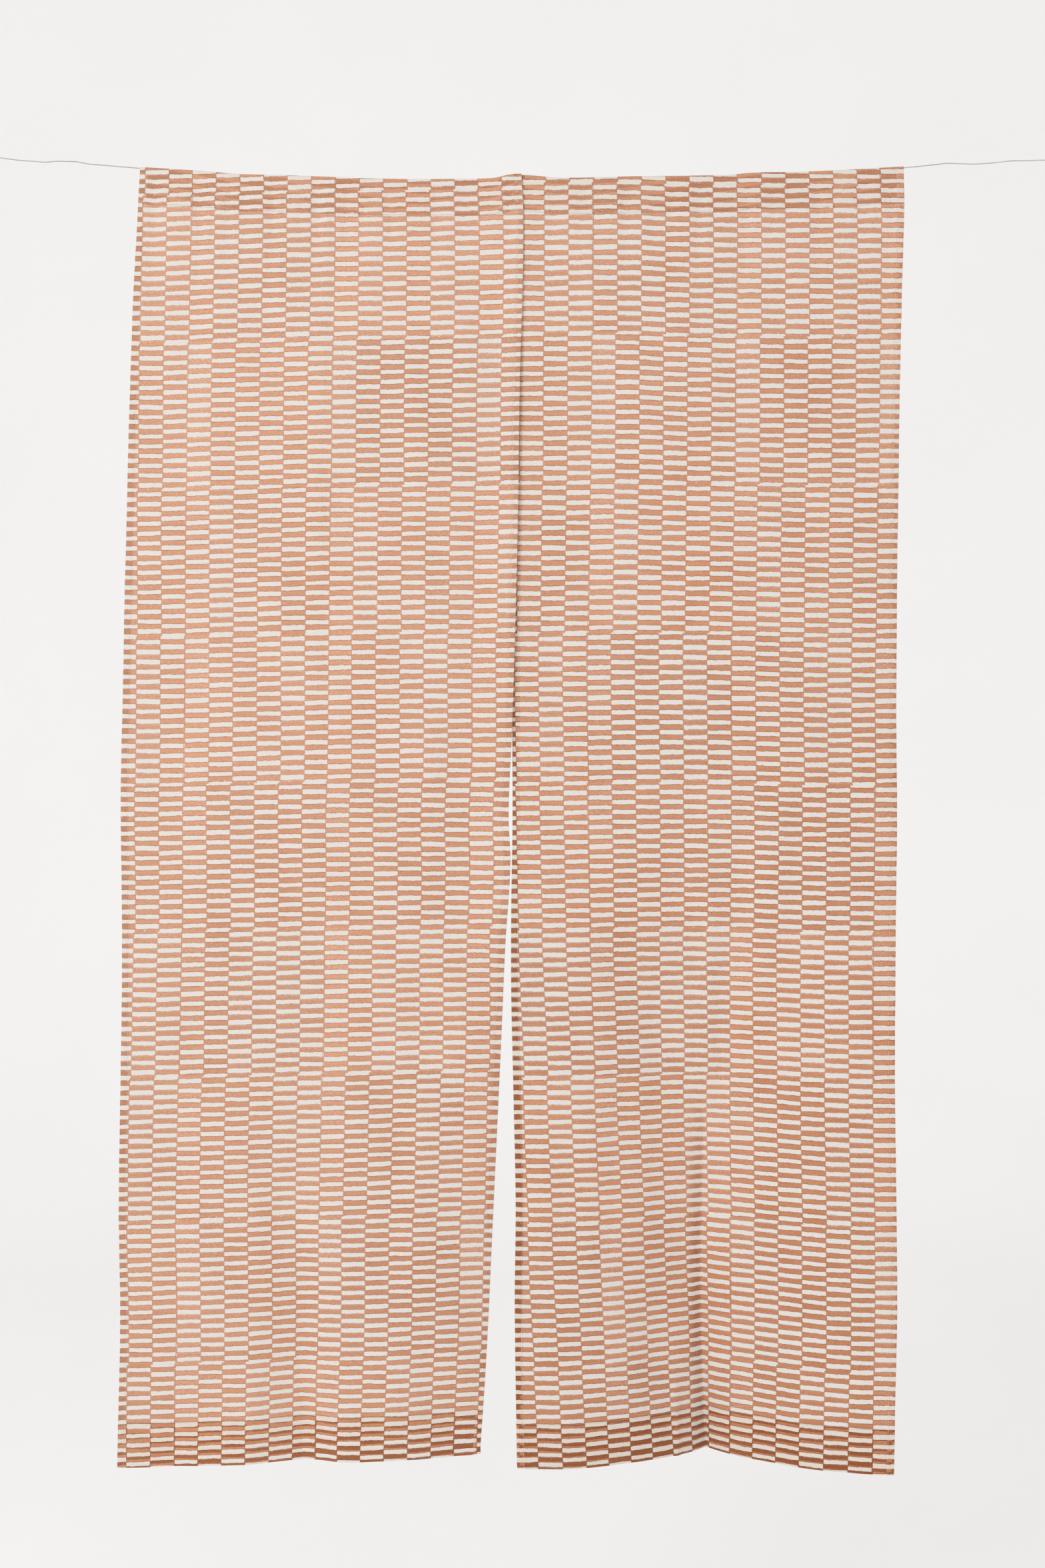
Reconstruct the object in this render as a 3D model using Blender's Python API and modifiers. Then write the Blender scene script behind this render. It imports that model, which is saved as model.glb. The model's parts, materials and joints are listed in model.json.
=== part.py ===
"""Split door curtain of thin printed cotton, hung by its rod pocket on a steel wire.

Two cloth panels hang side by side from one wire. Each panel is a single sheet: its hem is
turned up at the back, its front falls in soft folds, and its top is folded over the wire
into a pocket. The wire is looped through a screw eye at each end.

Run with: blender --background --python part.py

Metres, +Z up. Seen from the front, +X is to the right and +Y is to the back. The origin is
the middle of the hanging line, half way between the two wall plates.
"""

import math

import bmesh
import bpy
from mathutils import Vector

# Cloth, as one thickened sheet
FIELD_THICKNESS = 0.0012
SIDE_HEM_THICKNESS = 0.0019
SIDE_HEM_WIDTH = 0.012
HEM_STEP = 0.0015
LAYER_GAP = 0.0005
POCKET_DEPTH = 0.060
HEM_DEPTH = 0.071
PIECE_GAP = 0.00035

# Wire and wall eyes
WIRE_RADIUS = 0.00075
WALL_X = 0.890
PLATE_RADIUS = 0.013
PLATE_THICKNESS = 0.003
PLATE_RIM = 0.0006
SHANK_RADIUS = 0.0021
EYE_X = 0.862
EYE_RADIUS = 0.0060
EYE_BAR_RADIUS = 0.0015
LEFT_EYE_Z = 0.002
RIGHT_EYE_Z = -0.002
PLATE_SIDES = 28
SHANK_SIDES = 12
RING_STEPS = 20
BAR_SIDES = 8

# Grid of each panel
FIELD_ROWS = 24
FOLD_STEPS = 4
HEM_ROWS = 2
POCKET_ROWS = 3

# Route of the wire between its eyes: x, z. It sags most left of the middle and is kinked
# outside the cloth.
WIRE_ROUTE = (
    (-0.835, 0.0018),
    (-0.817, 0.0013),
    (-0.791, -0.0023),
    (-0.747, -0.0057),
    (-0.728, -0.0041),
    (-0.697, -0.0049),
    (-0.680, -0.0083),
    (-0.597, -0.0153),
    (-0.494, -0.0221),
    (-0.452, -0.0260),
    (-0.369, -0.0284),
    (-0.223, -0.0337),
    (-0.140, -0.0344),
    (-0.067, -0.0336),
    (-0.001, -0.0322),
    (0.090, -0.0321),
    (0.173, -0.0301),
    (0.277, -0.0287),
    (0.320, -0.0279),
    (0.361, -0.0242),
    (0.423, -0.0232),
    (0.486, -0.0209),
    (0.548, -0.0172),
    (0.595, -0.0146),
    (0.627, -0.0114),
    (0.664, -0.0074),
    (0.706, -0.0087),
    (0.727, -0.0076),
    (0.766, -0.0034),
    (0.787, -0.0031),
    (0.817, -0.0024),
    (0.835, -0.0021),
)

# The overlapped inner corners stand a little above the wire
CENTRE_LIFT = 0.0042
CENTRE_LIFT_REACH = 0.060

# Heights between which the side edges are read for the rows of the grid
NOMINAL_TOP = -0.03
NOMINAL_DROP = 2.02

# Side edges of the panels, from the top down: z, x
LEFT_OUTER_EDGE = (
    (-0.014, -0.5970),
    (-0.091, -0.6007),
    (-0.226, -0.6080),
    (-0.362, -0.6130),
    (-0.633, -0.6205),
    (-0.836, -0.6245),
    (-1.040, -0.6280),
    (-1.243, -0.6250),
    (-1.446, -0.6255),
    (-1.649, -0.6283),
    (-1.800, -0.6265),
    (-2.045, -0.6318),
)
LEFT_INNER_EDGE = (
    (-0.024, -0.0020),
    (-0.085, 0.0010),
    (-0.377, -0.0045),
    (-0.565, -0.0070),
    (-0.892, -0.0160),
    (-1.040, -0.0218),
    (-1.107, -0.0190),
    (-1.243, -0.0272),
    (-1.378, -0.0330),
    (-1.649, -0.0455),
    (-1.920, -0.0585),
    (-2.038, -0.0665),
)
RIGHT_INNER_EDGE = (
    (-0.030, -0.0085),
    (-0.480, -0.0110),
    (-0.795, -0.0160),
    (-1.040, -0.0155),
    (-1.175, -0.0175),
    (-1.311, -0.0175),
    (-1.446, -0.0145),
    (-1.649, -0.0105),
    (-1.785, -0.0120),
    (-2.048, -0.0083),
)
RIGHT_OUTER_EDGE = (
    (-0.014, 0.5955),
    (-0.091, 0.5968),
    (-0.226, 0.5928),
    (-0.497, 0.5880),
    (-0.836, 0.5842),
    (-1.040, 0.5850),
    (-1.243, 0.5818),
    (-1.446, 0.5805),
    (-1.785, 0.5835),
    (-1.920, 0.5808),
    (-2.059, 0.5772),
)

# Lowest line of each panel: z at its left edge, z at its right edge
LEFT_HEM_LINE = (-2.0452, -2.0345)
RIGHT_HEM_LINE = (-2.0415, -2.0532)

# Left panel: near its inner edge it lies over the right panel, and it parts from it lower down
OVERLAP_START = -0.045
OVERLAP_REACH = 0.028
STAND_OFF = 0.0025
STAND_OFF_REACH = 0.060
STAND_OFF_TOP = -0.06
STAND_OFF_FULL = -0.36
PARTING_TOP = -1.02
PARTING_END = -1.35

# Folds of the left panel, as (z, depth): it is turned a little, has one soft valley low down,
# and its inner edge draws back
LEFT_TURN = ((-1.10, 0.0), (-1.45, 0.022), (-1.80, 0.022), (-2.045, 0.012))
LEFT_VALLEY_X = -0.351
LEFT_VALLEY_REACH = 0.085
LEFT_VALLEY_DEPTH = ((-1.45, 0.0), (-1.75, 0.010), (-2.045, 0.017))
LEFT_RECESS_START = -0.205
LEFT_RECESS_DEPTH = ((-1.40, 0.0), (-1.75, 0.010), (-2.045, 0.018))

# Folds of the right panel, as (z, depth): a broad hollow that sharpens into a V-shaped fold
# towards the hem, a soft shoulder on its left side, and edges that come forward
CREASE_LINE = (
    (-0.90, 0.290),
    (-1.26, 0.290),
    (-1.42, 0.286),
    (-1.60, 0.280),
    (-1.84, 0.280),
    (-2.06, 0.289),
)
CREASE_DEPTH = ((-1.40, 0.0), (-1.61, 0.019), (-1.75, 0.029), (-2.06, 0.054))
CREASE_REACH = 0.062
CREASE_RADIUS = 0.006
HOLLOW_DEPTH = ((-0.85, 0.0), (-1.12, 0.014), (-1.38, 0.040), (-1.60, 0.045), (-2.06, 0.045))
HOLLOW_LEFT_REACH = 0.270
HOLLOW_RIGHT_REACH = 0.250
SHOULDER_X = 0.199
SHOULDER_REACH = 0.016
SHOULDER_DEPTH = ((-1.30, 0.0), (-1.50, 0.005), (-1.95, 0.005), (-2.06, 0.002))
FORWARD_LEAN = ((-0.95, 0.0), (-1.45, 0.010), (-2.06, 0.016))

# Distance over which a fold's slope is read, and the part of the drop that ends in the hem
SLOPE_STEP = 0.002
HALF_WAY = 0.5

# Columns of each grid, and the one that follows its main fold
LEFT_COLUMNS = 22
LEFT_VALLEY_COLUMN = 10
RIGHT_COLUMNS = 24
RIGHT_CREASE_COLUMN = 12

# The wire is curved finely where the pockets hang on it
WIRE_STEP = 0.025
POCKET_STEPS = 24
POCKET_REACH = WIRE_STEP * POCKET_STEPS

# Loop and wraps at the ends of the wire
LOOP_STEPS = 8
WRAP_RADIUS = 0.00180
WRAP_PITCH = 0.0021
WRAP_TURNS = 3
WRAP_STEPS = 8
LOOP_NECK = 0.011


def smooth(value):
    """Soft step from 0 to 1."""
    value = min(max(value, 0.0), 1.0)
    return value * value * (3.0 - 2.0 * value)


def bump(offset, reach):
    """Rounded hill of height 1 and half-width reach."""
    if abs(offset) >= reach:
        return 0.0
    return math.cos(0.5 * math.pi * offset / reach) ** 2


def read(table, place):
    """Value of a smooth curve through the rows (place, value) of a table, held level past its ends."""
    rows = sorted(table)
    if place <= rows[0][0]:
        return rows[0][1]
    if place >= rows[-1][0]:
        return rows[-1][1]
    slopes = [(after[1] - before[1]) / (after[0] - before[0]) for before, after in zip(rows, rows[1:])]
    tangents = [slopes[0]]
    tangents += [0.5 * (before + after) for before, after in zip(slopes, slopes[1:])]
    tangents += [slopes[-1]]
    index = max(number for number, row in enumerate(rows[:-1]) if row[0] <= place)
    span = rows[index + 1][0] - rows[index][0]
    part = (place - rows[index][0]) / span
    start = (1.0 + 2.0 * part) * (1.0 - part) ** 2 * rows[index][1]
    start += part * (1.0 - part) ** 2 * span * tangents[index]
    end = part * part * (3.0 - 2.0 * part) * rows[index + 1][1]
    end += part * part * (part - 1.0) * span * tangents[index + 1]
    return start + end


def spread(start, end, steps):
    """Even places from start to end, both included."""
    return [start + (end - start) * step / steps for step in range(steps + 1)]


def wire_height(x):
    """Height of the wire's middle at x."""
    return read(WIRE_ROUTE, x)


class Panel:
    """One cloth panel, from which the places of its grid points are read."""

    def __init__(self, left_edge, right_edge, hem_line, columns, fold_column):
        self.left_edge = left_edge
        self.right_edge = right_edge
        self.hem_line = hem_line
        self.columns = columns
        self.fold_column = fold_column

    def thickness(self, column):
        """Thickness of the cloth at a grid column: a side hem lies between the last two at each edge."""
        in_hem = min(column, self.columns - column) <= 1
        return SIDE_HEM_THICKNESS if in_hem else FIELD_THICKNESS

    def pocket_radius(self, column, x):
        """Radius of the pocket's turn over the wire, at the middle of the cloth's thickness."""
        return WIRE_RADIUS + PIECE_GAP + 0.5 * self.thickness(column)

    def column_x(self, column, z):
        """Place of a grid column at height z: edges, hem seams and the main fold are kept."""
        left = read(self.left_edge, z)
        right = read(self.right_edge, z)
        field = SIDE_HEM_WIDTH + HEM_STEP
        keys = (
            (0, left),
            (1, left + SIDE_HEM_WIDTH),
            (2, left + field),
            (self.fold_column, self.fold_line(z)),
            (self.columns - 2, right - field),
            (self.columns - 1, right - SIDE_HEM_WIDTH),
            (self.columns, right),
        )
        for before, after in zip(keys, keys[1:]):
            if column <= after[0]:
                part = (column - before[0]) / (after[0] - before[0])
                return before[1] + part * (after[1] - before[1])
        return right

    def closing(self, x):
        """How far the pocket's two layers draw together at its seam, from 0 to 1."""
        return 1.0

    def layer_radius(self, column, x, fall, below_top):
        """Half the distance between the cloth's two layers, in the pocket or in the hem."""
        hem_radius = 0.5 * (self.thickness(column) + LAYER_GAP)
        if fall > HALF_WAY:
            return hem_radius
        closing = smooth(below_top / POCKET_DEPTH) * self.closing(x)
        pocket_radius = self.pocket_radius(column, x)
        return pocket_radius + closing * (hem_radius - pocket_radius)

    def slope(self, x, z):
        """Slope of the front across the panel."""
        rise = self.depth(x + SLOPE_STEP, z) - self.depth(x - SLOPE_STEP, z)
        return rise / (2.0 * SLOPE_STEP)

    def point(self, column, fall, turn):
        """Place of the middle of the cloth's thickness.

        fall is 0 at the pocket's turn and 1 at the hem's. turn is the angle past the front
        layer: 0 on the front, pi on the layer at the back, between them on the way round.
        """
        x = self.column_x(column, NOMINAL_TOP - NOMINAL_DROP * fall)
        top = wire_height(x) + CENTRE_LIFT * bump(x, CENTRE_LIFT_REACH)
        share = column / self.columns
        lowest = self.hem_line[0] + share * (self.hem_line[1] - self.hem_line[0])
        bottom = lowest + self.thickness(column) + 0.5 * LAYER_GAP
        z = top + fall * (bottom - top)
        radius = self.layer_radius(column, x, fall, top - z)
        front = self.depth(x, z) - self.pocket_radius(column, x)
        shift = radius * (1.0 - math.cos(turn))
        slope = self.slope(x, z)
        length = math.hypot(1.0, slope)
        rise = radius * math.sin(turn) * (-1.0 if fall > HALF_WAY else 1.0)
        return Vector((x - shift * slope / length, front + shift / length, z + rise))

    def rows(self):
        """Rows of the grid as (fall, turn), from the hem's raw edge to the pocket's.

        They run down the hem's back layer, round its fold, up the front, over the wire and
        down the pocket's back layer.
        """
        high = POCKET_DEPTH / NOMINAL_DROP
        low = 1.0 - HEM_DEPTH / NOMINAL_DROP
        turns = [math.pi * step / FOLD_STEPS for step in range(1, FOLD_STEPS)]
        rows = [(fall, math.pi) for fall in spread(low, 1.0, HEM_ROWS)]
        rows += [(1.0, turn) for turn in reversed(turns)]
        rows += [(fall, 0.0) for fall in spread(1.0, low, HEM_ROWS)]
        rows += [(fall, 0.0) for fall in spread(low, high, FIELD_ROWS)[1:-1]]
        rows += [(fall, 0.0) for fall in spread(high, 0.0, POCKET_ROWS)]
        rows += [(0.0, turn) for turn in turns]
        rows += [(fall, math.pi) for fall in spread(0.0, high, POCKET_ROWS)]
        return rows


class LeftPanel(Panel):
    """Nearly flat and a little turned, with its inner edge over the right panel."""

    def depth(self, x, z):
        """How far the front lies behind the plane of the wire."""
        outer = read(self.left_edge, z)
        inner = read(self.right_edge, z)
        share = (x - outer) / (inner - outer)
        depth = (share - 0.5) * read(LEFT_TURN, z)
        depth += read(LEFT_VALLEY_DEPTH, z) * bump(x - LEFT_VALLEY_X, LEFT_VALLEY_REACH)
        recess = smooth((x - LEFT_RECESS_START) / (inner - LEFT_RECESS_START))
        depth += read(LEFT_RECESS_DEPTH, z) * recess
        below_pocket = smooth((z - STAND_OFF_TOP) / (STAND_OFF_FULL - STAND_OFF_TOP))
        together = smooth((z - PARTING_END) / (PARTING_TOP - PARTING_END))
        near = smooth(1.0 - (inner - x) / STAND_OFF_REACH)
        return depth - STAND_OFF * below_pocket * together * near

    def fold_line(self, z):
        """Place of the soft valley at height z."""
        return LEFT_VALLEY_X

    def over_right(self, x):
        """0 on the panel's own pocket, 1 where it is folded over the right panel's."""
        return smooth((x - OVERLAP_START) / OVERLAP_REACH)

    def pocket_radius(self, column, x):
        """At the overlap the pocket is wide enough to hold the right panel's."""
        room = SIDE_HEM_THICKNESS + PIECE_GAP
        return super().pocket_radius(column, x) + room * self.over_right(x)

    def closing(self, x):
        """The layers stay apart where the right panel's pocket lies between them."""
        return 1.0 - self.over_right(x)


class RightPanel(Panel):
    """Flat at the top, with a broad hollow that sharpens into a V-shaped fold at the hem."""

    def depth(self, x, z):
        """How far the front lies behind the plane of the wire."""
        offset = x - self.fold_line(z)
        reach = HOLLOW_LEFT_REACH if offset < 0.0 else HOLLOW_RIGHT_REACH
        depth = read(HOLLOW_DEPTH, z) * bump(offset, reach)
        away = math.hypot(offset, CREASE_RADIUS) - CREASE_RADIUS
        depth += read(CREASE_DEPTH, z) * math.exp(-away / CREASE_REACH)
        depth += 0.5 * read(SHOULDER_DEPTH, z) * math.tanh((x - SHOULDER_X) / SHOULDER_REACH)
        return depth - read(FORWARD_LEAN, z)

    def fold_line(self, z):
        """Place of the V-shaped fold at height z."""
        return read(CREASE_LINE, z)


def finish(name, colour, metallic, roughness):
    """Plain material of a piece."""
    material = bpy.data.materials.new(name)
    material.use_nodes = True
    shader = material.node_tree.nodes["Principled BSDF"]
    shader.inputs["Base Color"].default_value = (*colour, 1.0)
    shader.inputs["Metallic"].default_value = metallic
    shader.inputs["Roughness"].default_value = roughness
    return material


def make_panel(name, panel, collection, material):
    """A grid laid along the cloth's path, thickened evenly to both sides and more in the side hems."""
    rows = panel.rows()
    shape = bmesh.new()
    bmesh.ops.create_grid(shape, x_segments=panel.columns, y_segments=len(rows) - 1, size=1.0)
    weights = []
    for vertex in shape.verts:
        column = round((vertex.co.x + 1.0) * 0.5 * panel.columns)
        row = round((vertex.co.y + 1.0) * 0.5 * (len(rows) - 1))
        vertex.co = panel.point(column, *rows[row])
        weights.append(panel.thickness(column) / SIDE_HEM_THICKNESS)
    mesh = bpy.data.meshes.new(name)
    shape.to_mesh(mesh)
    shape.free()
    mesh.shade_smooth()
    mesh.materials.append(material)
    piece = bpy.data.objects.new(name, mesh)
    collection.objects.link(piece)
    group = piece.vertex_groups.new(name="thickness")
    for index, weight in enumerate(weights):
        group.add([index], weight, "REPLACE")
    shell = piece.modifiers.new("thickness", "SOLIDIFY")
    shell.thickness = SIDE_HEM_THICKNESS
    shell.offset = 0.0
    shell.vertex_group = group.name
    shell.use_even_offset = True


def wire_end(side, eye_z):
    """Points of one end of the wire: neck, loop round the eye's bar, and the tail's wraps.

    side is -1 at the left end and +1 at the right one. The points run from the span outwards.
    """
    bar_x = side * (EYE_X - EYE_RADIUS)
    loop_radius = EYE_BAR_RADIUS + PIECE_GAP + WIRE_RADIUS
    neck_x = bar_x - side * LOOP_NECK
    points = [Vector((neck_x + side * WIRE_RADIUS, 0.0, eye_z))]
    for step in range(LOOP_STEPS + 1):
        angle = math.pi * step / LOOP_STEPS
        points.append(Vector((
            bar_x + side * loop_radius * math.sin(angle),
            -loop_radius * math.cos(angle),
            eye_z,
        )))
    for step in range(WRAP_TURNS * WRAP_STEPS + 1):
        turns = step / WRAP_STEPS
        angle = 2.0 * math.pi * turns
        points.append(Vector((
            neck_x - side * WRAP_PITCH * turns,
            WRAP_RADIUS * math.cos(angle),
            eye_z + WRAP_RADIUS * math.sin(angle),
        )))
    return points


def make_wire(collection, material):
    """One wire from the left tail, through the left eye, along its route and back from the right eye."""
    left = wire_end(-1.0, LEFT_EYE_Z)
    right = wire_end(1.0, RIGHT_EYE_Z)
    places = [x for x, z in WIRE_ROUTE if abs(x) > POCKET_REACH]
    places += [WIRE_STEP * step for step in range(-POCKET_STEPS, POCKET_STEPS + 1)]
    span = [Vector((x, 0.0, wire_height(x))) for x in sorted(places)]
    points = list(reversed(left)) + span + right
    curve = bpy.data.curves.new("hanging_wire", "CURVE")
    curve.dimensions = "3D"
    curve.bevel_depth = WIRE_RADIUS
    curve.bevel_resolution = 2
    curve.use_fill_caps = True
    spline = curve.splines.new("POLY")
    spline.points.add(len(points) - 1)
    for target, point in zip(spline.points, points):
        target.co = (*point, 1.0)
    curve.materials.append(material)
    collection.objects.link(bpy.data.objects.new("hanging_wire", curve))


def move_to(collection, piece):
    """Take an object out of the collections it was made in and put it in another."""
    for old in list(piece.users_collection):
        old.objects.unlink(piece)
    collection.objects.link(piece)


def add_rod(name, radius, start_x, end_x, height, vertices, collection):
    """Cylinder along X between two places."""
    bpy.ops.mesh.primitive_cylinder_add(
        vertices=vertices,
        radius=radius,
        depth=abs(end_x - start_x),
        location=(0.5 * (start_x + end_x), 0.0, height),
        rotation=(0.0, math.radians(90.0), 0.0),
    )
    rod = bpy.context.object
    rod.name = name
    move_to(collection, rod)
    return rod


def make_eye(name, side, height, collection, joining, material):
    """Round wall plate with a short shank and a ring, joined into one solid."""
    plate_front = side * (WALL_X - PLATE_THICKNESS)
    plate = add_rod(name, PLATE_RADIUS, plate_front, side * WALL_X, height, PLATE_SIDES, collection)
    rim = plate.modifiers.new("soft rim", "BEVEL")
    rim.width = PLATE_RIM
    rim.segments = 1
    ring_top = side * (EYE_X + EYE_RADIUS - 0.5 * EYE_BAR_RADIUS)
    in_plate = side * (WALL_X - 0.5 * PLATE_THICKNESS)
    shank = add_rod(f"{name} shank", SHANK_RADIUS, ring_top, in_plate, height, SHANK_SIDES, joining)
    bpy.ops.mesh.primitive_torus_add(
        major_segments=RING_STEPS,
        minor_segments=BAR_SIDES,
        major_radius=EYE_RADIUS,
        minor_radius=EYE_BAR_RADIUS,
        location=(side * EYE_X, 0.0, height),
        rotation=(math.radians(90.0), 0.0, 0.0),
    )
    ring = bpy.context.object
    ring.name = f"{name} ring"
    move_to(joining, ring)
    for shape in (shank, ring):
        shape.hide_render = True
        shape.display_type = "WIRE"
        join = plate.modifiers.new("join", "BOOLEAN")
        join.operation = "UNION"
        join.solver = "EXACT"
        join.object = shape
    plate.data.materials.append(material)


def main():
    for old in list(bpy.data.objects):
        bpy.data.objects.remove(old)
    curtain = bpy.data.collections.new("door curtain")
    joining = bpy.data.collections.new("shapes joined to the wall eyes")
    for collection in (curtain, joining):
        bpy.context.scene.collection.children.link(collection)
    cotton = finish("printed cotton", (0.68, 0.44, 0.32), 0.0, 0.85)
    steel = finish("grey steel", (0.55, 0.55, 0.53), 1.0, 0.38)
    left = LeftPanel(LEFT_OUTER_EDGE, LEFT_INNER_EDGE, LEFT_HEM_LINE, LEFT_COLUMNS, LEFT_VALLEY_COLUMN)
    right = RightPanel(
        RIGHT_INNER_EDGE, RIGHT_OUTER_EDGE, RIGHT_HEM_LINE, RIGHT_COLUMNS, RIGHT_CREASE_COLUMN
    )
    make_panel("left_panel", left, curtain, cotton)
    make_panel("right_panel", right, curtain, cotton)
    make_wire(curtain, steel)
    make_eye("left_wall_eye", -1.0, LEFT_EYE_Z, curtain, joining, steel)
    make_eye("right_wall_eye", 1.0, RIGHT_EYE_Z, curtain, joining, steel)


main()
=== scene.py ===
"""Split door curtain of block-printed cotton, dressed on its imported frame.

Each cloth solid of the frame is replaced by a fine sheet on the same route: up the hem at the
back, down the front's folds, and over the wire into the pocket. The sheets carry their print,
weave, stitching and loose thread ends. The wire and its wall eyes keep their solids.

Metres, +Z up. Seen from the front, +X is to the right and +Y is to the back. The origin is the
middle of the hanging line, half way between the two wall plates.
"""

import bisect
import json
import math

import bmesh
import bpy
from bpy.props import FloatProperty, FloatVectorProperty, PointerProperty
from mathutils import Matrix, Vector

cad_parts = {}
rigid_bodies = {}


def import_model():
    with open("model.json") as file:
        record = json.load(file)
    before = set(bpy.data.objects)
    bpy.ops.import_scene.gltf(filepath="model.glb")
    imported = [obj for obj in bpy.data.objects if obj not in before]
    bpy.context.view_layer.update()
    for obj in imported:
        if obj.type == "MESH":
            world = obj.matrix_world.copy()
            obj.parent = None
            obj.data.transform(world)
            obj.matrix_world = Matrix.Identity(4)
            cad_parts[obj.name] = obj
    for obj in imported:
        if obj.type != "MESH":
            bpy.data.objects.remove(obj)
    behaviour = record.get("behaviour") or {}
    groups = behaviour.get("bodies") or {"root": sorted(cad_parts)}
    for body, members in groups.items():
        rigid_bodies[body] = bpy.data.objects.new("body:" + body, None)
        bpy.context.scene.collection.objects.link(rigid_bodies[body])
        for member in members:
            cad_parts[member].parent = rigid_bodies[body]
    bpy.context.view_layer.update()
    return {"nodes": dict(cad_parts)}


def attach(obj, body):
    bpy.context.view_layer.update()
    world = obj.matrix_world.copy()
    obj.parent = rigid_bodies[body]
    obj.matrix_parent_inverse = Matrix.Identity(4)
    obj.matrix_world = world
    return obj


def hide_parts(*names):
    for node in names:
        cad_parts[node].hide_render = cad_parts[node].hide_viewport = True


bl_info = {
    "name": "Printed door curtain",
    "version": (1, 0, 0),
    "blender": (4, 5, 0),
    "location": "View3D > Sidebar > Door curtain",
    "description": "Dresses a split door curtain with printed cotton, stitching and a plain stage",
    "category": "Object",
}

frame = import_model()


class Curve:
    """Smooth curve through rows of (place, value), held level past its ends."""

    def __init__(self, *rows):
        rows = sorted(rows)
        self.places = [place for place, value in rows]
        self.values = [value for place, value in rows]
        slopes = [(after[1] - before[1]) / (after[0] - before[0]) for before, after in zip(rows, rows[1:])]
        self.tangents = [slopes[0]]
        self.tangents += [0.5 * (before + after) for before, after in zip(slopes, slopes[1:])]
        self.tangents += [slopes[-1]]

    def at(self, place):
        """Value of the curve at a place."""
        if place <= self.places[0]:
            return self.values[0]
        if place >= self.places[-1]:
            return self.values[-1]
        index = bisect.bisect_right(self.places, place) - 1
        span = self.places[index + 1] - self.places[index]
        part = (place - self.places[index]) / span
        start = (1.0 + 2.0 * part) * (1.0 - part) ** 2 * self.values[index]
        start += part * (1.0 - part) ** 2 * span * self.tangents[index]
        end = part * part * (3.0 - 2.0 * part) * self.values[index + 1]
        end += part * part * (part - 1.0) * span * self.tangents[index + 1]
        return start + end


# Cloth route shared with the solids
SIDE_HEM_WIDTH = 0.012
SIDE_SEAM = 0.010
HEM_STEP = 0.0015
POCKET_DEPTH = 0.060
HEM_DEPTH = 0.071
PIECE_GAP = 0.00035
WIRE_RADIUS = 0.00075
SOLID_FIELD_THICKNESS = 0.0012
SOLID_HEM_THICKNESS = 0.0019
NOMINAL_TOP = -0.03
NOMINAL_DROP = 2.02
HALF_WAY = 0.5
SLOPE_STEP = 0.002
CENTRE_LIFT = 0.0042
CENTRE_LIFT_REACH = 0.060
MIDDLE_Z = -1.0

# The front face hangs this far before the wire's middle, and the layers of a hem lie this far apart
FRONT_FACE = WIRE_RADIUS + PIECE_GAP + SOLID_FIELD_THICKNESS
LAYER_GAP = 0.0002

# Route of the wire between its eyes: x, z
WIRE_ROUTE = Curve(
    (-0.835, 0.0018),
    (-0.817, 0.0013),
    (-0.791, -0.0023),
    (-0.747, -0.0057),
    (-0.728, -0.0041),
    (-0.697, -0.0049),
    (-0.680, -0.0083),
    (-0.597, -0.0153),
    (-0.494, -0.0221),
    (-0.452, -0.0260),
    (-0.369, -0.0284),
    (-0.223, -0.0337),
    (-0.140, -0.0344),
    (-0.067, -0.0336),
    (-0.001, -0.0322),
    (0.090, -0.0321),
    (0.173, -0.0301),
    (0.277, -0.0287),
    (0.320, -0.0279),
    (0.361, -0.0242),
    (0.423, -0.0232),
    (0.486, -0.0209),
    (0.548, -0.0172),
    (0.595, -0.0146),
    (0.627, -0.0114),
    (0.664, -0.0074),
    (0.706, -0.0087),
    (0.727, -0.0076),
    (0.766, -0.0034),
    (0.787, -0.0031),
    (0.817, -0.0024),
    (0.835, -0.0021),
)

# Side edges of the panels, from the top down: z, x
LEFT_OUTER_EDGE = Curve(
    (-0.014, -0.5970),
    (-0.091, -0.6007),
    (-0.226, -0.6080),
    (-0.362, -0.6130),
    (-0.633, -0.6205),
    (-0.836, -0.6245),
    (-1.040, -0.6280),
    (-1.243, -0.6250),
    (-1.446, -0.6255),
    (-1.649, -0.6283),
    (-1.800, -0.6265),
    (-2.045, -0.6318),
)
LEFT_INNER_EDGE = Curve(
    (-0.024, -0.0020),
    (-0.085, 0.0010),
    (-0.377, -0.0045),
    (-0.565, -0.0070),
    (-0.892, -0.0160),
    (-1.040, -0.0218),
    (-1.107, -0.0190),
    (-1.243, -0.0272),
    (-1.378, -0.0330),
    (-1.649, -0.0455),
    (-1.920, -0.0585),
    (-2.038, -0.0665),
)
RIGHT_INNER_EDGE = Curve(
    (-0.030, -0.0085),
    (-0.480, -0.0110),
    (-0.795, -0.0160),
    (-1.040, -0.0155),
    (-1.175, -0.0175),
    (-1.311, -0.0175),
    (-1.446, -0.0145),
    (-1.649, -0.0105),
    (-1.785, -0.0120),
    (-2.048, -0.0083),
)
RIGHT_OUTER_EDGE = Curve(
    (-0.014, 0.5955),
    (-0.091, 0.5968),
    (-0.226, 0.5928),
    (-0.497, 0.5880),
    (-0.836, 0.5842),
    (-1.040, 0.5850),
    (-1.243, 0.5818),
    (-1.446, 0.5805),
    (-1.785, 0.5835),
    (-1.920, 0.5808),
    (-2.059, 0.5772),
)

# Lowest line of each panel: z at its left edge, z at its right edge
LEFT_HEM_LINE = (-2.0452, -2.0345)
RIGHT_HEM_LINE = (-2.0415, -2.0532)

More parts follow.
